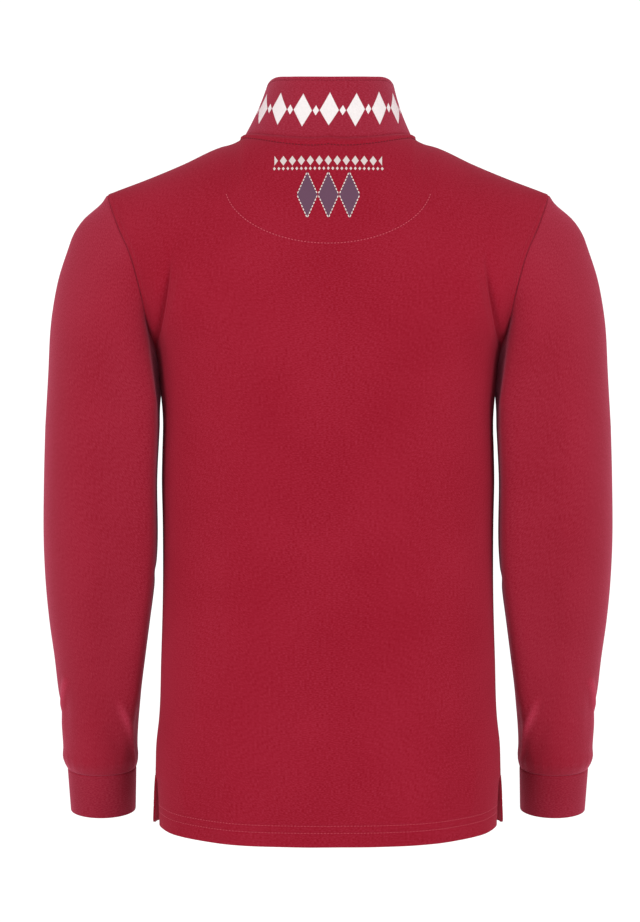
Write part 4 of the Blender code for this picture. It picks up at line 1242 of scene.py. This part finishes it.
# Buttonholes, worked upright under each button, and the threads through the buttons' holes
lines = []
for spot, up in button_places:
    down_way = unit(np.cross(np.cross(np.array([0.0, 0.0, -1.0]), up), up)) * -1
    side_way = unit(np.cross(up, down_way))
    for way in (-1, 1):
        for k in np.linspace(-7.6, 7.6, 26):
            start = spot - up * BUTTON_GAP + down_way * k + side_way * way * 0.35
            end = start + side_way * way * 1.3
            lines.append((np.stack([start, end]), np.stack([up, up])))
stitches("buttonholes", lines, 1.25, 0.0, 0.5, cherry_thread, "placket_cloth", rise=0.1, sink=0.15)
lines = []
for spot, up in button_places:
    x_axis = unit(np.cross(np.array([0.0, 0.0, 1.0]), up))
    y_axis = np.cross(up, x_axis)
    level = up * (BUTTON_THICK - 0.95)
    for way in (1, -1):
        (x0, y0), (x1, y1) = (-HOLE_AT, -way * HOLE_AT), (HOLE_AT, way * HOLE_AT)
        for shift in (-0.18, 0.18):
            off = shift * (x_axis * (y1 - y0) - y_axis * (x1 - x0)) / 3.25
            a = spot + x_axis * x0 * 1.05 + y_axis * y0 * 1.05 + off + level
            b = spot + x_axis * x1 * 1.05 + y_axis * y1 * 1.05 + off + level
            lines.append((np.stack([a, b]), np.stack([up, up])))
sewn = (3.3, 0.0, 0.36, cherry_thread, "button_plastic")
stitches("button_threads", lines, *sewn, sink=1.2, rise=0.3)

# The half-moon patch inside the back neck shows as its line of stitches. Over it three printed
# lozenges are outlined with a running stitch.
HALF_MOON = (104.0, 63.2, -56.8, 80.0)  # half width, half height, height of the middle, degrees
tree_of_back = BVHTree.FromObject(panel["back piece"], bpy.context.evaluated_depsgraph_get())


def on_the_back(points):
    """Points and normals on the back's outer face, behind these x and heights."""
    aim = Vector((0, -1, 0))
    found = [tree_of_back.ray_cast(Vector((x * MM, 1.0, z * MM)), aim) for x, z in points]
    return np.array([tuple(f[0]) for f in found]) / MM, np.array([tuple(f[1]) for f in found])


wide, tall, level, reach = HALF_MOON
arc = np.radians(np.linspace(-reach, reach, 120))
lines = [on_the_back([(wide * math.sin(a), level - tall * math.cos(a)) for a in arc])]
stitches("half_moon_stitch", lines, 1.6, 1.7, 0.8, pale_thread, "jersey", rise=0.2)
lines = []
for centre in (-21.0, 0.0, 21.0):
    corners = [(centre, -46.6), (centre + 10.3, -70.6), (centre, -94.6), (centre - 10.3, -70.6)]
    for k in range(4):
        (x0, z0), (x1, z1) = corners[k], corners[(k + 1) % 4]
        parts = np.linspace(0.02, 0.98, 8)
        lines.append(on_the_back([(x0 + (x1 - x0) * t, z0 + (z1 - z0) * t) for t in parts]))
stitches("lozenge_stitch", lines, 2.2, 1.5, 1.15, cream_thread, "jersey", rise=0.1)


# Studio: a pale round floor, even soft light, and a camera behind the shirt at the height of its
# middle.
FLOOR, FLOOR_RADIUS = -2.2, 7.5  # metres
turn = [2 * math.pi * k / 96 for k in range(96)]
verts = [(FLOOR_RADIUS * math.cos(a), FLOOR_RADIUS * math.sin(a), FLOOR) for a in turn]
mesh = bpy.data.meshes.new("studio_floor")
mesh.from_pydata(verts, [], [list(range(len(verts)))])
floor = bpy.data.objects.new("studio_floor", mesh)
bpy.context.scene.collection.objects.link(floor)
pale = new_finish(
    "pale studio floor",
    ("Base Color", (0.86, 0.86, 0.86, 1)),
    ("Roughness", 0.9),
    ("Specular IOR Level", 0.1),
)[0]
mesh.materials.append(pale)

# The world is a pale tent, brightest beyond the shirt's front, less bright overhead
TENT_BEHIND, TENT_AHEAD = 1.12, 0.35
world = bpy.data.worlds.new("studio")
bpy.context.scene.world = world
world.use_nodes = True
tree = world.node_tree
ahead = node(tree, "SeparateXYZ", (0, node(tree, "TexCoord").outputs["Generated"])).outputs
glow = spread(tree, ahead[1], -1.0, 0.8, TENT_BEHIND, TENT_AHEAD)
glow = calc(tree, "MULTIPLY", glow, spread(tree, ahead[2], 0.25, 0.9, 1.0, 0.5))
tree.links.new(glow, tree.nodes["Background"].inputs["Strength"])
tree.nodes["Background"].inputs["Color"].default_value = (1, 1, 1, 1)

# Softboxes: place and size in metres, watts; each looks at the middle of the shirt
SOFTBOXES = (
    ((2.3, 2.8, 0.9), 1.5, 61), ((-2.3, 2.8, 0.9), 1.5, 61), ((3.3, 0.6, 0.3), 1.6, 17),
    ((-3.3, 0.6, 0.3), 1.6, 17),
)
for i, (spot, size, watts) in enumerate(SOFTBOXES):
    light = bpy.data.lights.new(f"softbox {i + 1}", "AREA")
    light.shape, light.size, light.energy = "SQUARE", size, watts
    box = bpy.data.objects.new(light.name, light)
    box.location = spot
    box.rotation_euler = (Vector((0, 0, -0.34)) - Vector(spot)).to_track_quat("-Z", "Y").to_euler()
    bpy.context.scene.collection.objects.link(box)
bpy.context.scene.view_settings.view_transform = "Standard"

camera = bpy.data.objects.new("camera", bpy.data.cameras.new("camera"))
camera.data.lens, camera.data.sensor_width = 109.93, 36.0
camera.location = (0.0083, 2.9, -0.3358)
camera.rotation_euler = (math.radians(90), 0, math.radians(180))
bpy.context.scene.collection.objects.link(camera)
bpy.context.scene.camera = camera
